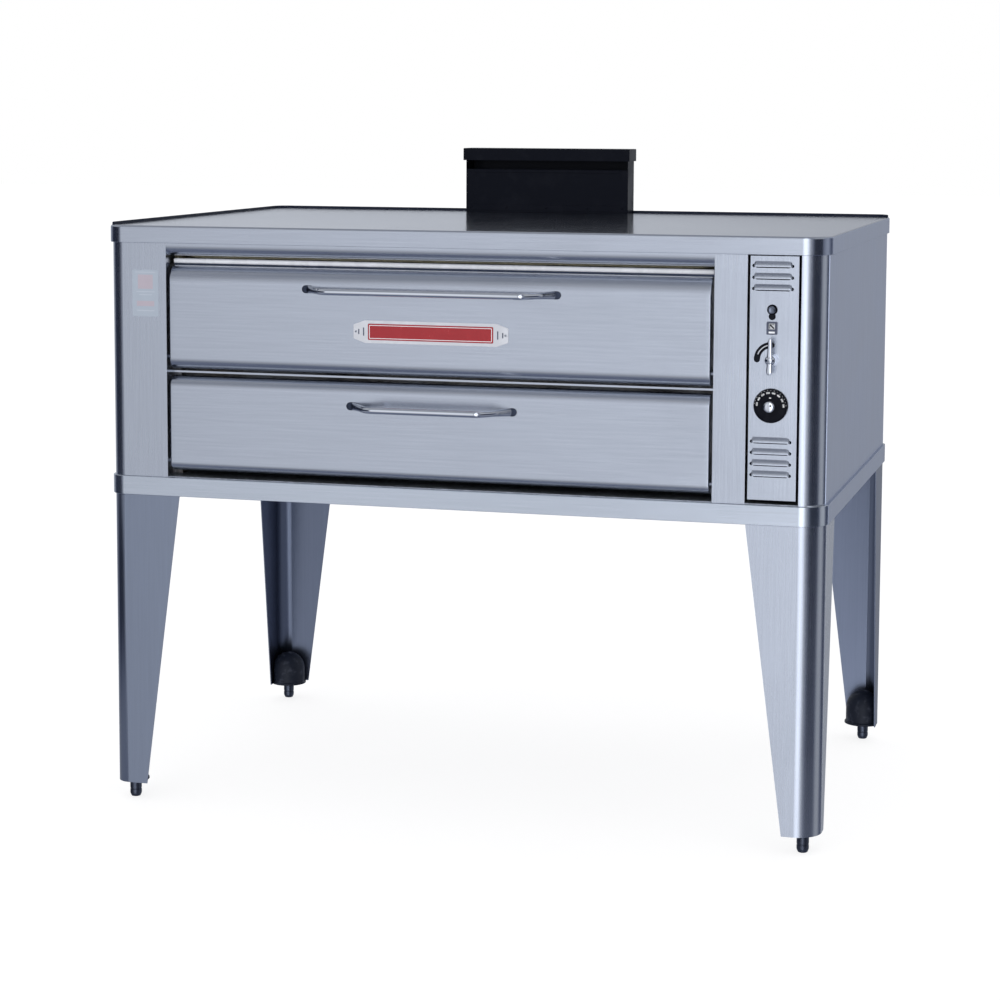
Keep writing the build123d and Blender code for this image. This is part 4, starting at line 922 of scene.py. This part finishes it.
def make_dial():
    """A moulded skirt with a stepped hub, and numbers round its upper half."""
    place = front_at(CONTROL_X, DIAL_HEIGHT, 4.0)
    skirt = turned_solid([
        (0.0, 0.0), (32.0, 0.0), (33.6, 0.6), (34.0, 1.4), (33.8, 2.6), (33.0, 3.8), (31.4, 4.9),
        (29.0, 5.5), (25.0, 5.9), (20.5, 6.1), (19.6, 6.3), (19.0, 6.9), (14.0, 7.0), (0.0, 7.0),
    ], place, 72)
    shaft = turned_solid([(0.0, -26.0), (3.0, -26.0), (3.0, 1.0), (0.0, 1.0)], place, 24)
    parts = [skirt, shaft]

    def on_skirt(angle, radius, out):
        across, up = rotate(0.0, radius, angle)
        return front_at(CONTROL_X + across, DIAL_HEIGHT + up, 4.0 + out)

    first, step = 82, 24  # degrees from upright of the first number, and between two
    for index, number in enumerate(DIAL_NUMBERS):
        angle = math.radians(first - step * index)
        parts.append(paint_faces(lettering(str(number), 4.7, on_skirt(angle, 26.4, 5.86), angle), 1))
    for index in range(2 * len(DIAL_NUMBERS) - 1):
        angle = math.radians(first - step / 2 * index)
        outline = rounded_rectangle(0.7, 2.2 if index % 2 == 0 else 1.2, 0.15, 2)
        tick = raised(outline, turned_place(on_skirt(angle, 31.0, 4.75), angle), [(0.0, -0.5), (0.0, 0.35)])
        parts.append(paint_faces(tick, 1))
    mark = raised(rounded_rectangle(4.2, 2.0, 0.6, 3), front_at(CONTROL_X, DIAL_HEIGHT + 16.6, 11.0),
                  [(0.0, -0.5), (0.0, 0.15), (0.2, 0.25)])
    parts.append(paint_faces(mark, 1))
    piece("dial_skirt", join(*parts), [BLACK_PLASTIC, DIAL_INK], "thermostat_control",
          ["thermostat_dial"], 28.0)


def turned_place(place, turn):
    return lambda u, v, out: place(*rotate(u, v, turn), out)


def make_knob():
    """A turned knob with a crowned face, fine grip flutes and a pointer dot."""
    place = front_at(CONTROL_X, DIAL_HEIGHT, 11.0)
    flute = 0.28
    cap = turned_solid([
        (0.0, 0.0), (11.4, 0.0), (12.0, 0.7), (11.6, 2.0, flute), (11.3, 8.0, flute), (11.1, 13.0, flute),
        (10.9, 14.2), (10.3, 15.4), (9.2, 16.2), (7.0, 16.7), (3.5, 16.95), (0.0, 17.0),
    ], place, 96)
    dot = turned_solid([(0.0, -0.6), (2.1, -0.6), (2.1, 0.05), (1.7, 0.3), (0.0, 0.35)],
                       front_at(CONTROL_X + 3.6, DIAL_HEIGHT + 2.6, 27.75), 20)
    piece("knob_cap", join(cap, paint_faces(dot, 1)), [KNOB_CHROME, HOLLOW_SHADE_AND_DOT_BLACK], "thermostat_control",
          ["thermostat_knob"], 28.0)


# --- Gas lever, quadrant, button and window ---------------------------------------------------------
LEVER_HEIGHT = 998.5
LEVER_BREADTH = 1.3
BUTTON_HEIGHT = 1097.0


def make_lever():
    """A forged lever: a long tapered arm up, a short blade down and a domed hub."""
    place = front_at(CONTROL_X, LEVER_HEIGHT, 20.0)
    sections = [
        (-28.5, 0.8, 1.0), (-28.1, 2.4, 3.0), (-26.6, 3.9, 4.6), (-23.0, 4.6, 5.4), (-16.0, 4.5, 5.7),
        (-9.0, 4.2, 5.9), (-3.0, 4.6, 6.0), (3.0, 4.6, 6.0), (9.0, 4.1, 5.9), (20.0, 3.6, 5.6),
        (32.0, 3.3, 5.3), (39.0, 3.2, 5.0), (42.0, 2.5, 4.2), (43.2, 1.3, 2.6), (43.5, 0.4, 0.9),
    ]
    rings = []
    for up, half, thick in sections:
        ring = []
        lean = min(0.0, 0.03 * up)
        for across, out in arc((0, 0), 1.0, 0, 360, 16)[:-1]:
            across, out = (math.copysign(abs(value) ** 0.7, value) for value in (across, out))
            ring.append(place(LEVER_BREADTH * half * across + lean, up, 3.0 + thick / 2 * out))
        rings.append(ring)
    arm = loft(rings)
    hub = turned_solid([
        (0.0, -12.5), (9.6, -12.5), (10.6, -11.5), (10.6, 0.0), (10.1, 2.4), (8.6, 4.6), (6.2, 6.2),
        (3.4, 7.0), (0.0, 7.2),
    ], place, 36)
    pin = turned_solid([(0.0, 6.6), (2.3, 6.6), (2.3, 7.6), (1.6, 8.1), (0.0, 8.2)], place, 20)
    stem = turned_solid([(0.0, -42.0), (4.0, -42.0), (4.0, -12.0), (0.0, -12.0)], place, 24)
    mesh = join(arm, hub, pin, stem)
    piece("lever_forging", mesh, CHROME, "valve_lever", ["gas_valve_lever"], 35.0)


def band_outline(radius, half_width, start, end, steps=18):
    """An arc-shaped band with round ends, counter-clockwise about the lever's axis."""
    outer = arc((0, 0), radius + half_width, start, end, steps)
    inner = arc((0, 0), radius - half_width, end, start, steps)
    start_at, end_at = (rotate(radius, 0.0, math.radians(angle)) for angle in (start, end))
    far_cap = arc(end_at, half_width, end, end + 180, 8)[1:-1]
    near_cap = arc(start_at, half_width, start + 180, start + 360, 8)[1:-1]
    return outer + far_cap + inner + near_cap


def make_quadrant():
    """The black guide of the lever, with a raised rim and a pale groove along its middle."""
    place = front_at(CONTROL_X, LEVER_HEIGHT)
    body = raised(band_outline(29.0, 6.0, 90, 180), place, [
        (0.0, 0.0), (0.0, 2.2), (0.3, 2.8), (0.9, 3.0), (1.8, 2.9), (2.4, 2.1),
    ])
    groove = raised(band_outline(29.0, 1.0, 100, 158), place, [(0.0, 1.6), (0.0, 2.5), (0.25, 2.7)])
    parts = join(body, paint_faces(groove, 1))
    piece("quadrant_casting", parts, [CAST_GLOSS, PLATE_METAL], OVEN, ["valve_quadrant"], 30.0)


def make_button():
    """A dished push-button on its stem."""
    place = front_at(CONTROL_X, BUTTON_HEIGHT, 12.0 - 5.5)
    cap = turned_solid([
        (0.0, 0.0), (7.3, 0.0), (7.5, 0.4), (7.5, 3.4), (7.2, 4.5), (6.4, 5.2), (5.6, 5.4), (4.8, 5.1),
        (3.0, 4.8), (0.0, 4.7),
    ], place, 40)
    stem = turned_solid([(0.0, -20.0), (3.0, -20.0), (3.0, 0.5), (0.0, 0.5)], place, 20)
    piece("button_cap", join(cap, stem), BUTTON_METAL, "igniter", ["igniter_button"], 30.0)


def make_escutcheon():
    """A dark ring under the button with a lobe below that carries a round stop."""
    place = front_at(CONTROL_X, BUTTON_HEIGHT)
    ring = turned_solid([
        (0.0, 0.0), (10.5, 0.0), (10.5, 1.0), (10.1, 1.45), (9.4, 1.5), (8.6, 1.1), (0.0, 1.1),
    ], place, 40)
    lobe_place = front_at(CONTROL_X, BUTTON_HEIGHT - 13.3)
    lobe = turned_solid([
        (0.0, 0.0), (7.0, 0.0), (7.0, 0.9), (6.6, 1.35), (5.6, 1.5), (5.0, 1.9), (4.9, 3.0), (4.2, 3.45),
        (0.0, 3.5),
    ], lobe_place, 32)
    neck_place = front_at(CONTROL_X, BUTTON_HEIGHT - 8.0)
    neck = raised(rounded_rectangle(11.0, 10.0, 1.0, 3), neck_place, dome_profile(1.3, 0.3))
    parts = join(ring, lobe, neck)
    piece("escutcheon_plate", parts, CAST_GLOSS, OVEN, ["igniter_escutcheon"], 30.0)


def make_window():
    """A moulded frame with a pane above and a blank tab below."""
    centre = 1060.75
    outer = rounded_rectangle(21.5, 25.5, 2.2, 5)
    pane = [(x, z + 3.5) for x, z in rounded_rectangle(13.05, 12.05, 0.8, 5)]
    place = front_at(CONTROL_X, centre)

    levels = (
        (outer, 0.0, 0.0), (outer, 0.0, 3.2), (outer, 0.3, 3.75), (outer, 1.0, 4.0),
        (pane, -1.0, 4.0), (pane, -0.3, 3.8), (pane, 0.0, 3.3), (pane, 0.0, 0.0),
    )
    frame_mesh = hoop(levels, place)
    tab = raised(rounded_rectangle(12.4, 3.6, 0.7, 3), front_at(CONTROL_X, centre - 8.3), [
        (0.0, 3.6), (0.0, 4.05), (0.3, 4.3),
    ])
    parts = join(frame_mesh, paint_faces(tab, 1))
    materials = [FRAME_PLASTIC, PALE_ENAMEL]
    piece("window_frame", parts, materials, OVEN, ["indicator_bezel"], 30.0)
    lens = raised(rounded_rectangle(13.0, 12.0, 0.8, 5), front_at(CONTROL_X, centre + 3.5), [
        (0.0, 0.0), (0.0, 2.2), (0.4, 2.7), (1.4, 3.1), (3.0, 3.35),
    ])
    piece("window_lens", lens, LENS, OVEN, ["indicator_lens"], 40.0)


# --- Nameplate and label ----------------------------------------------------------------------------
def tapered_outline(width, height, taper, drop, ease=2.5, steps=4):
    """An oblong whose corners are cut to long tapers with softly rounded turns."""
    half, tall = width / 2, height / 2
    corners = [
        (half, -tall + drop), (half, tall - drop), (half - taper, tall), (taper - half, tall),
        (-half, tall - drop), (-half, drop - tall), (taper - half, -tall), (half - taper, -tall),
    ]
    return rounded_path(corners, ease, steps, closed=True)


def rounded_path(points, radius, steps, closed=False):
    """A path through points whose corners are replaced by arcs."""
    found = [] if closed else [points[0]]
    count = len(points)
    turns = range(count) if closed else range(1, count - 1)
    for index in turns:
        here = Vector(points[index])
        before = Vector(points[index - 1]) - here
        after = Vector(points[(index + 1) % count]) - here
        half_angle = before.angle(after) / 2
        reach = min(radius / math.tan(half_angle), before.length * 0.48, after.length * 0.48)
        bend = reach * math.tan(half_angle)
        middle = (before.normalized() + after.normalized()).normalized() * (bend / math.sin(half_angle))
        start, end = (side.normalized() * reach - middle for side in (before, after))
        swing = math.copysign(start.angle(end), start.cross(end))
        for step in range(steps + 1):
            x, y = rotate(start.x, start.y, swing * step / steps)
            found.append((here.x + middle.x + x, here.y + middle.y + y))
    if not closed:
        found.append(points[-1])
    return found


def make_nameplate():
    """A pale plate with tapered ends, a red enamelled field inside a fine keyline, and rivets."""
    x, height = -48.5, 1030.5
    base = raised(tapered_outline(331.0, 47.0, 25.0, 9.0), front_at(x, height), dome_profile(1.6, 0.5))
    field = raised(rounded_rectangle(268.0, 33.5, 2.2, 4), front_at(x, height, 1.6), [
        (0.0, -0.4), (0.0, 0.35), (0.2, 0.55), (0.7, 0.62),
    ])
    parts = [base, paint_faces(field, 1)]
    line = rounded_rectangle(262.5, 28.0, 1.6, 4)
    levels = ((line, 0.0, -0.3), (line, 0.0, 0.16), (line, 1.2, 0.16), (line, 1.2, -0.3))
    parts.append(paint_faces(hoop(levels, front_at(x, height, 2.2)), 2))
    for side in (-1, 1):
        for across, tall in ((143.5, 17.0), (154.0, 11.0)):
            bar = raised(rounded_rectangle(2.4, tall, 0.8, 3), front_at(x + side * across, height, 1.6), [
                (0.0, -0.3), (0.0, 0.2), (0.2, 0.32),
            ])
            parts.append(paint_faces(bar, 3))
        rivet = turned_solid([(0.0, -0.3), (2.3, -0.3), (2.2, 0.4), (1.5, 0.75), (0.0, 0.8)],
                             front_at(x + side * 160.0, height, 1.5), 20)
        parts.append(paint_faces(rivet, 4))
    materials = [PLATE_METAL, RED_ENAMEL, PALE_ENAMEL, FRAME_PLASTIC, ZINC_PLATE]
    piece("nameplate_enamel", join(*parts), materials, UPPER, ["nameplate"], 30.0)


def make_label():
    """A blank label: pale film with faint tinted blocks and fine lines in place of print."""
    x, height = -678.0, 1098.5
    outline = rounded_rectangle(60.0, 99.0, 2.5, 4)
    parts = [raised(outline, front_at(x, height), [(0.0, 0.0), (0.0, 0.3), (0.15, 0.4)])]
    blocks = (
        (0.0, 24.0, 34.0, 30.0, 1), (0.0, -22.0, 40.0, 11.0, 1), (0.0, -37.0, 40.0, 2.2, 2),
        (0.0, 3.0, 42.0, 1.6, 2), (0.0, -3.5, 30.0, 1.6, 2), (0.0, 44.0, 46.0, 1.6, 2),
    )
    for across, up, width, tall, index in blocks:
        block = raised(rounded_rectangle(width, tall, 0.5, 3), front_at(x + across, height + up, 0.4), [
            (0.0, -0.1), (0.0, 0.05),
        ])
        parts.append(paint_faces(block, index))
    materials = [LABEL_FILM, LABEL_PINK, LABEL_LINE]
    piece("label_film", join(*parts), materials, OVEN, ["rating_label"], 30.0)


# --- Handles --------------------------------------------------------------------------------------
def make_handle(name, node, body, left, right, height):
    """A bar bent back to the door at both ends, where it is flattened on its pads."""
    reach, slope = 58.0, 50.0
    bends = [(left, 0.0), (left + slope, -reach), (right - slope, -reach), (right, 0.0)]
    points = resample(rounded_path(bends, 26.0, 10), 5.0, 12)
    total = len(points)
    rings = []
    for index, (x, y) in enumerate(points):
        before = Vector(points[max(0, index - 1)])
        after = Vector(points[min(total - 1, index + 1)])
        along = (after - before).normalized()
        side = Vector((along.y, -along.x))
        near_end = max(0.0, 1.0 - (-y) / 30.0)
        thick = 7.0 - 3.2 * near_end ** 0.8
        tall = 7.0 + 1.4 * near_end
        ring = []
        for cosine, sine in arc((0, 0), 1.0, 0, 360, 20)[:-1]:
            across = thick * cosine
            ring.append((x + side.x * across, FRONT + min(0.0, y + side.y * across), height + tall * sine))
        rings.append(in_metres(ring))
    parts = [loft(rings)]
    for x in (left, right):
        # The pads are near-black steel: painted shade for the handles' dark ends.
        pad = raised(slot_outline(25.2, 16.8), front_at(x, height), dome_profile(3.0, 1.2, 1.5))
        parts.append(paint_faces(pad, 1))
    piece(name, join(*parts), [CHROME, DARK_STEEL_PAINTED_SHADE], body, [node], 40.0)


def resample(path, spacing, around):
    """Points along a path: its own where they are close together, and more on long runs."""
    found = [path[0]]
    for first, second in zip(path, path[1:]):
        gap = math.dist(first, second)
        count = max(1, min(around, round(gap / spacing)))
        for step in range(1, count + 1):
            found.append(tuple(a + (b - a) * step / count for a, b in zip(first, second)))
    return found


# --- Feet -----------------------------------------------------------------------------------------
LEG_INSET = 3.0  # of the legs' inner faces behind the body's outer faces
FRONT_SOCKET_SIZE = 0.68  # of the rear sockets' size
FEET = {"front_left": (-1, -1), "front_right": (1, -1), "rear_left": (-1, 1), "rear_right": (1, 1)}


def foot_centre(side_x, side_y):
    return side_x * FOOT_X, FOOT_FRONT if side_y < 0 else FOOT_REAR


def make_feet():
    """Turned adjustable feet: a tapered tip, a barrel with a groove and a threaded stud."""
    for name, (side_x, side_y) in FEET.items():
        x, y = foot_centre(side_x, side_y)
        profile = [(0.0, 0.0), (8.6, 0.0), (9.8, 0.7), (12.1, 6.0), (12.5, 7.4), (12.5, 15.0), (11.6, 15.8),
                   (11.6, 17.2), (12.5, 18.0), (12.5, 35.6), (11.8, 36.8), (8.4, 37.0)]
        height = 37.0
        while height < 84.0:
            profile += [(7.2, height + 0.5), (8.0, height + 1.2)]
            height += 1.9
        profile += [(7.0, 85.4), (0.0, 86.0)]
        body = turned_solid(profile, lambda u, v, up, x=x, y=y: ((x + u) * MM, (y + v) * MM, up * MM), 40)
        piece(f"foot_{name}_turned", body, FOOT_STEEL, f"foot_{name}",
              [f"levelling_foot_{name}"], 30.0)


def make_sockets():
    """Cast cups in the legs' bottom corners, with a rolled rim and a domed top."""
    parts = []
    for side_x, side_y in FEET.values():
        x, y = foot_centre(side_x, side_y)
        size = FRONT_SOCKET_SIZE if side_y < 0 else 1.0
        limit_x = HALF - LEG_INSET
        limit_y = (BACK if side_y > 0 else -FRONT) - LEG_INSET
        profile = [(43.0, 38.0), (43.4, 39.2), (43.0, 42.0), (41.0, 43.4), (40.0, 44.2), (40.0, 76.0)]
        profile += [(max(0.4, radius), height) for radius, height in arc((0.0, 76.0), 40.0, 0, 90, 8)[1:]]
        rings = []
        for radius, height in profile:
            ring = []
            for out_x, out_y in arc((side_x * x, side_y * y), size * radius, 0, 360, 48)[:-1]:
                out_x, out_y = clip_corner(min(out_x, limit_x), min(out_y, limit_y), limit_x, limit_y, 29.0)
                ring.append((side_x * out_x, side_y * out_y))
            rings.append(level_ring(ring, height))
        mesh = loft(rings)
        bmesh.ops.remove_doubles(mesh, verts=mesh.verts[:], dist=2e-6)
        parts.append(mesh)
    piece("socket_castings", join(*parts), CAST_BLACK, OVEN, ["foot_sockets"], 40.0)


def clip_corner(x, y, limit_x, limit_y, radius):
    """Pulls a point in to the rounded corner of the leg that it stands in."""
    over_x, over_y = x - (limit_x - radius), y - (limit_y - radius)
    reach = math.hypot(over_x, over_y)
    if over_x <= 0 or over_y <= 0 or reach <= radius:
        return x, y
    shrink = radius / reach
    return limit_x - radius + over_x * shrink, limit_y - radius + over_y * shrink


# --- Hood trim and small fasteners --------------------------------------------------------------------
def make_hood_trim():
    """The hood's lapped seam with its rivets, and its turned front edge."""
    front, seam_height, hem_height, middle = 448.0, 1253.0, 1341.0, -50.5

    def at_hood(x, height):
        return lambda u, v, out: ((x + u) * MM, (front - out) * MM, (height + v) * MM)

    parts = []
    for width, tall, height, profile in (
        (400.0, 14.0, seam_height, [(0.0, -0.2), (0.0, 0.9), (0.3, 1.2)]),
        (361.0, 7.0, hem_height, [(0.0, -0.2), (0.0, 1.0), (0.4, 1.4)]),
    ):
        parts.append(raised(rounded_rectangle(width, tall, 0.5, 3), at_hood(middle, height), profile))
    for x in (-238.0, -150.0, -50.0, 50.0, 137.0):
        profile = [(0.0, 0.9), (3.0, 0.9), (2.8, 1.9), (1.8, 2.6), (0.0, 2.8)]
        parts.append(turned_solid(profile, at_hood(x, seam_height), 20))
    piece("hood_seam", join(*parts), BLACK_PAINT, OVEN, (), 30.0)


def make_back_screws():
    """Hexagon-headed screws round the back panel."""
    parts = []
    places = [(x, z) for z in (730.0, 1190.0) for x in range(-690, 691, 230)]
    places += [(x, z) for x in (-690.0, 690.0) for z in (880.0, 1035.0)]
    for x, z in places:
        place = (lambda u, v, out, x=x, z=z: ((x - u) * MM, (BACK + out) * MM, (z + v) * MM))
        washer = turned_solid([(0.0, -0.3), (6.0, -0.3), (6.0, 0.6), (5.4, 1.0), (0.0, 1.0)], place, 24)
        head = raised(arc((0, 0), 4.4, 0, 300, 5), place, [(0.0, 0.9), (0.0, 3.4), (0.5, 4.0)])
        parts += [washer, head]
    piece("back_panel_screws", join(*parts), ZINC_PLATE, OVEN, (), 30.0)


# --- Mineral wool --------------------------------------------------------------------------------------
def lumpy_slab(low, high, pitch=34.0, sag=3.2, edge=11.0):
    """A soft slab inside a box: rounded along its edges and uneven all over."""
    mesh = bmesh.new()
    counts = [max(2, round((high[axis] - low[axis]) / pitch)) for axis in range(3)]
    known = {}

    def corner(index):
        if index not in known:
            place = [low[axis] + (high[axis] - low[axis]) * index[axis] / counts[axis] for axis in range(3)]
            pulls = [0.0, 0.0, 0.0]
            for axis in range(3):
                on_face = index[axis] in (0, counts[axis])
                if not on_face:
                    continue
                sense = 1.0 if index[axis] == 0 else -1.0
                pull = sag * (0.5 + 0.5 * noise.noise(Vector(place) * 0.013))
                for other in range(3):
                    if other == axis:
                        continue
                    inside = min(place[other] - low[other], high[other] - place[other])
                    if inside < edge:
                        share = (edge - inside) / edge
                        pull += edge * 0.45 * (1 - math.sqrt(max(0.0, 1 - share * share)))
                pulls[axis] = sense * pull
            known[index] = mesh.verts.new([(place[axis] + pulls[axis]) * MM for axis in range(3)])
        return known[index]

    for axis in range(3):
        first, second = [other for other in range(3) if other != axis]
        for side in (0, counts[axis]):
            for a in range(counts[first]):
                for b in range(counts[second]):
                    loop = []
                    for da, db in ((0, 0), (1, 0), (1, 1), (0, 1)):
                        index = [0, 0, 0]
                        index[axis], index[first], index[second] = side, a + da, b + db
                        loop.append(corner(tuple(index)))
                    mesh.faces.new(loop)
    return mesh


def make_batts():
    """The insulation in the walls, the roof and the back, as lumpy slabs."""
    near, far, low, top = FRONT + 58.0, FRONT + 948.0, 711.3, 1237.5
    boxes = (
        ((-759.0, near, low), (-623.0, far, top)),
        ((531.0, near, low), (603.0, far, top)),
        ((-623.0, near, 1165.0), (531.0, FRONT + 886.0, top)),
        ((-719.0, FRONT + 951.0, low), (603.0, FRONT + 1006.0, 1160.0)),
    )
    parts = join(*[lumpy_slab(*box) for box in boxes])
    batts = piece("wool_batts", parts, WOOL, OVEN, ["insulation_batts"], 60.0)


make_top_cap()
make_cap_trim()
make_header()
make_door("upper_door_shell", "upper_door_skin", UPPER, 50.0, 939.0, 1118.0, 1158.0, 44.0, 1166.7)
make_door("lower_door_shell", "lower_door_skin", LOWER, 40.0, 722.5, 898.0, 924.0, 26.0)
make_corner_post()
make_front_rail()
make_right_leg()
make_control_panel()
make_dial()
make_knob()
make_lever()
make_quadrant()
make_button()
make_escutcheon()
make_window()
make_nameplate()
make_label()
make_handle("upper_handle_bar", "upper_door_handle", UPPER, -314.0, 214.0, 1115.0)
make_handle("lower_handle_bar", "lower_door_handle", LOWER, -217.5, 123.0, 874.5)
make_feet()
make_sockets()
make_hood_trim()
make_back_screws()
make_batts()


# --- Camera and light ---------------------------------------------------------------------
CAMERA_PLACE = Vector((1.432, -5.263, 1.479))
CAMERA_YAW = 0.27254  # this and the next two in radians
CAMERA_PITCH = 0.10444
CAMERA_ROLL = -0.00408
CAMERA_LENS = 88.18
CAMERA_SHIFT = -0.13  # of the frame's height


def make_camera():
    """The photograph's camera, as far as it could be fitted."""
    data = bpy.data.cameras.new("photo_camera")
    camera = bpy.data.objects.new("photo_camera", data)
    bpy.context.scene.collection.objects.link(camera)
    ahead = Vector((
        -math.sin(CAMERA_YAW) * math.cos(CAMERA_PITCH),
        math.cos(CAMERA_YAW) * math.cos(CAMERA_PITCH),
        -math.sin(CAMERA_PITCH),
    ))
    level = Vector((math.cos(CAMERA_YAW), math.sin(CAMERA_YAW), 0.0))
    down = ahead.cross(level)
    right = level * math.cos(CAMERA_ROLL) + down * math.sin(CAMERA_ROLL)
    down = down * math.cos(CAMERA_ROLL) - level * math.sin(CAMERA_ROLL)
    turn = Matrix((right, -down, -ahead)).transposed()
    camera.matrix_world = Matrix.Translation(CAMERA_PLACE) @ turn.to_4x4()
    data.lens = CAMERA_LENS
    data.sensor_width = 36.0
    data.shift_y = CAMERA_SHIFT
    data.clip_end = 200.0
    bpy.context.scene.camera = camera


# Brightness of the studio by compass direction: 0 degrees is in front of the oven and
# positive turns towards its left-hand side.
STUDIO_ROUND = (
    (-180, 0.38), (-168, 0.36), (-163, 0.75), (-157, 0.70), (-151, 0.10), (-136, 0.05),
    (-124, 0.10), (-118, 0.50), (-94, 0.46), (-84, 0.03), (-41, 0.01), (-36, 0.22), (-22, 0.42),
    (-16, 1.6), (-10, 1.9), (3, 1.9), (7, 0.58), (12, 0.56), (17, 0.86), (22, 0.74), (27, 0.66), (33, 0.36),
    (42, 0.015), (98, 0.03), (116, 0.42), (138, 0.52), (155, 0.60), (168, 0.52), (175, 0.42), (180, 0.38),
)
# How it changes with the angle above or below the horizon.
STUDIO_UP = (
    (-90, 0.22), (-50, 0.30), (-30, 0.62), (-16, 0.88), (-10, 0.93), (-4, 1.0), (8, 1.0),
    (20, 0.86), (38, 0.60), (60, 0.42), (90, 0.36),
)
# The least it is at each angle, so that steep and level faces are never black.
STUDIO_LEAST = (
    (-90, 0.12), (-45, 0.24), (-22, 0.30), (-14, 0.0), (9, 0.0), (14, 0.40), (40, 0.40), (90, 0.32),
)
# How much of that least there is by compass direction: less in front of the oven.
STUDIO_SPREAD = ((-180, 1.0), (-40, 1.0), (-30, 0.4), (30, 0.4), (40, 1.0), (180, 1.0))
STUDIO_TINT = (0.94, 0.985, 1.08)
SHADE_TINT = (0.55, 0.75, 1.5)  # of its darkest parts
STUDIO_PEAK = 2.0
FLOOR_GLOW = 0.80  # so that the floor stays white to the horizon


def ramp(tree, value, stops, peak=1.0):
    """A level from stops of (degrees, level), where the value runs from 0 to 1 over their span."""
    low, high = stops[0][0], stops[-1][0]
    node = add_node(tree, "ValToRGB", {"Fac": value})
    elements = node.color_ramp.elements
    while len(elements) > 1:
        elements.remove(elements[0])
    for index, (at, level) in enumerate(stops):
        position = (at - low) / (high - low)
        element = elements[0] if index == 0 else elements.new(position)
        element.position = position
        element.color = (level / peak, level / peak, level / peak, 1.0)
    return node.outputs["Color"]


def make_studio():
    """A world that is plain white behind the oven and a soft studio in its reflections."""
    world = bpy.data.worlds.new("studio")
    bpy.context.scene.world = world
    world.use_nodes = True
    tree = world.node_tree
    tree.nodes.clear()
    direction = add_node(tree, "TexCoord").outputs["Generated"]
    x, y, z = add_node(tree, "SeparateXYZ", {"Vector": direction}).outputs
    left, front = (calculate(tree, "MULTIPLY", value, -1.0) for value in (x, y))
    turn = calculate(tree, "ARCTAN2", left, front)
    turn = calculate(tree, "MULTIPLY_ADD", turn, 1 / math.tau, 0.5)
    rise = calculate(tree, "ARCSINE", z)
    rise = calculate(tree, "MULTIPLY_ADD", rise, 1 / math.pi, 0.5)
    round_light = ramp(tree, turn, STUDIO_ROUND, STUDIO_PEAK)
    level = calculate(tree, "MULTIPLY", round_light, ramp(tree, rise, STUDIO_UP))
    level = calculate(tree, "MULTIPLY", level, STUDIO_PEAK)
    least = calculate(tree, "MULTIPLY", ramp(tree, rise, STUDIO_LEAST), ramp(tree, turn, STUDIO_SPREAD))
    level = calculate(tree, "MAXIMUM", level, least)
    tint = add_node(tree, "Mix", data_type="RGBA")
    tint.inputs["A"].default_value = (*SHADE_TINT, 1.0)
    tint.inputs["B"].default_value = (*STUDIO_TINT, 1.0)
    tree.links.new(calculate(tree, "MULTIPLY", level, 3.0), tint.inputs["Factor"])
    studio = add_node(tree, "Background", {"Color": tint.outputs["Result"], "Strength": level})
    backdrop = add_node(tree, "Background", {"Color": (1.0, 1.0, 1.0, 1.0)})
    path = add_node(tree, "LightPath").outputs
    plain = calculate(tree, "MAXIMUM", path["Is Camera Ray"], path["Is Diffuse Ray"])
    choose = add_node(tree, "MixShader", {0: plain, 1: studio.outputs[0], 2: backdrop.outputs[0]})
    add_node(tree, "OutputWorld", {"Surface": choose.outputs[0]})


def make_floor():
    """A pale floor that meets the backdrop without a line."""
    reach = 40.0
    corners = [(x, y, 0.0) for x, y in ((-reach, -reach), (reach, -reach), (reach, reach), (-reach, reach))]
    built = bpy.data.meshes.new("studio_floor")
    built.from_pydata(corners, [], [(0, 1, 2, 3)])
    shader = Shader("pale_floor")
    shader.colour(shader.noise(3.0), (0.25, 0.25, 0.255), (0.27, 0.27, 0.275))
    shader.set(Roughness=0.9, Specular_IOR_Level=0.1)
    shader.set(Emission_Color=(1.0, 1.0, 1.0, 1.0), Emission_Strength=FLOOR_GLOW)
    built.materials.append(shader.material)
    floor = bpy.data.objects.new("studio_floor", built)
    bpy.context.scene.collection.objects.link(floor)
    floor.visible_glossy = False


def make_fill_light():
    """A soft light from the front left, which the metal does not mirror."""
    data = bpy.data.lights.new("front_fill", "AREA")
    data.shape = "RECTANGLE"
    data.size, data.size_y = 4.0, 3.0
    data.energy = 60.0
    light = bpy.data.objects.new("front_fill", data)
    bpy.context.scene.collection.objects.link(light)
    light.location = (-1.5, -6.0, 2.6)
    aim = Vector((0.0, 0.0, 0.9)) - light.location
    light.rotation_euler = aim.to_track_quat("-Z", "Y").to_euler()
    light.visible_glossy = False
    light.visible_camera = False


make_camera()
make_studio()
make_floor()
make_fill_light()
view = bpy.context.scene.view_settings
view.view_transform = "Standard"
view.look = "None"
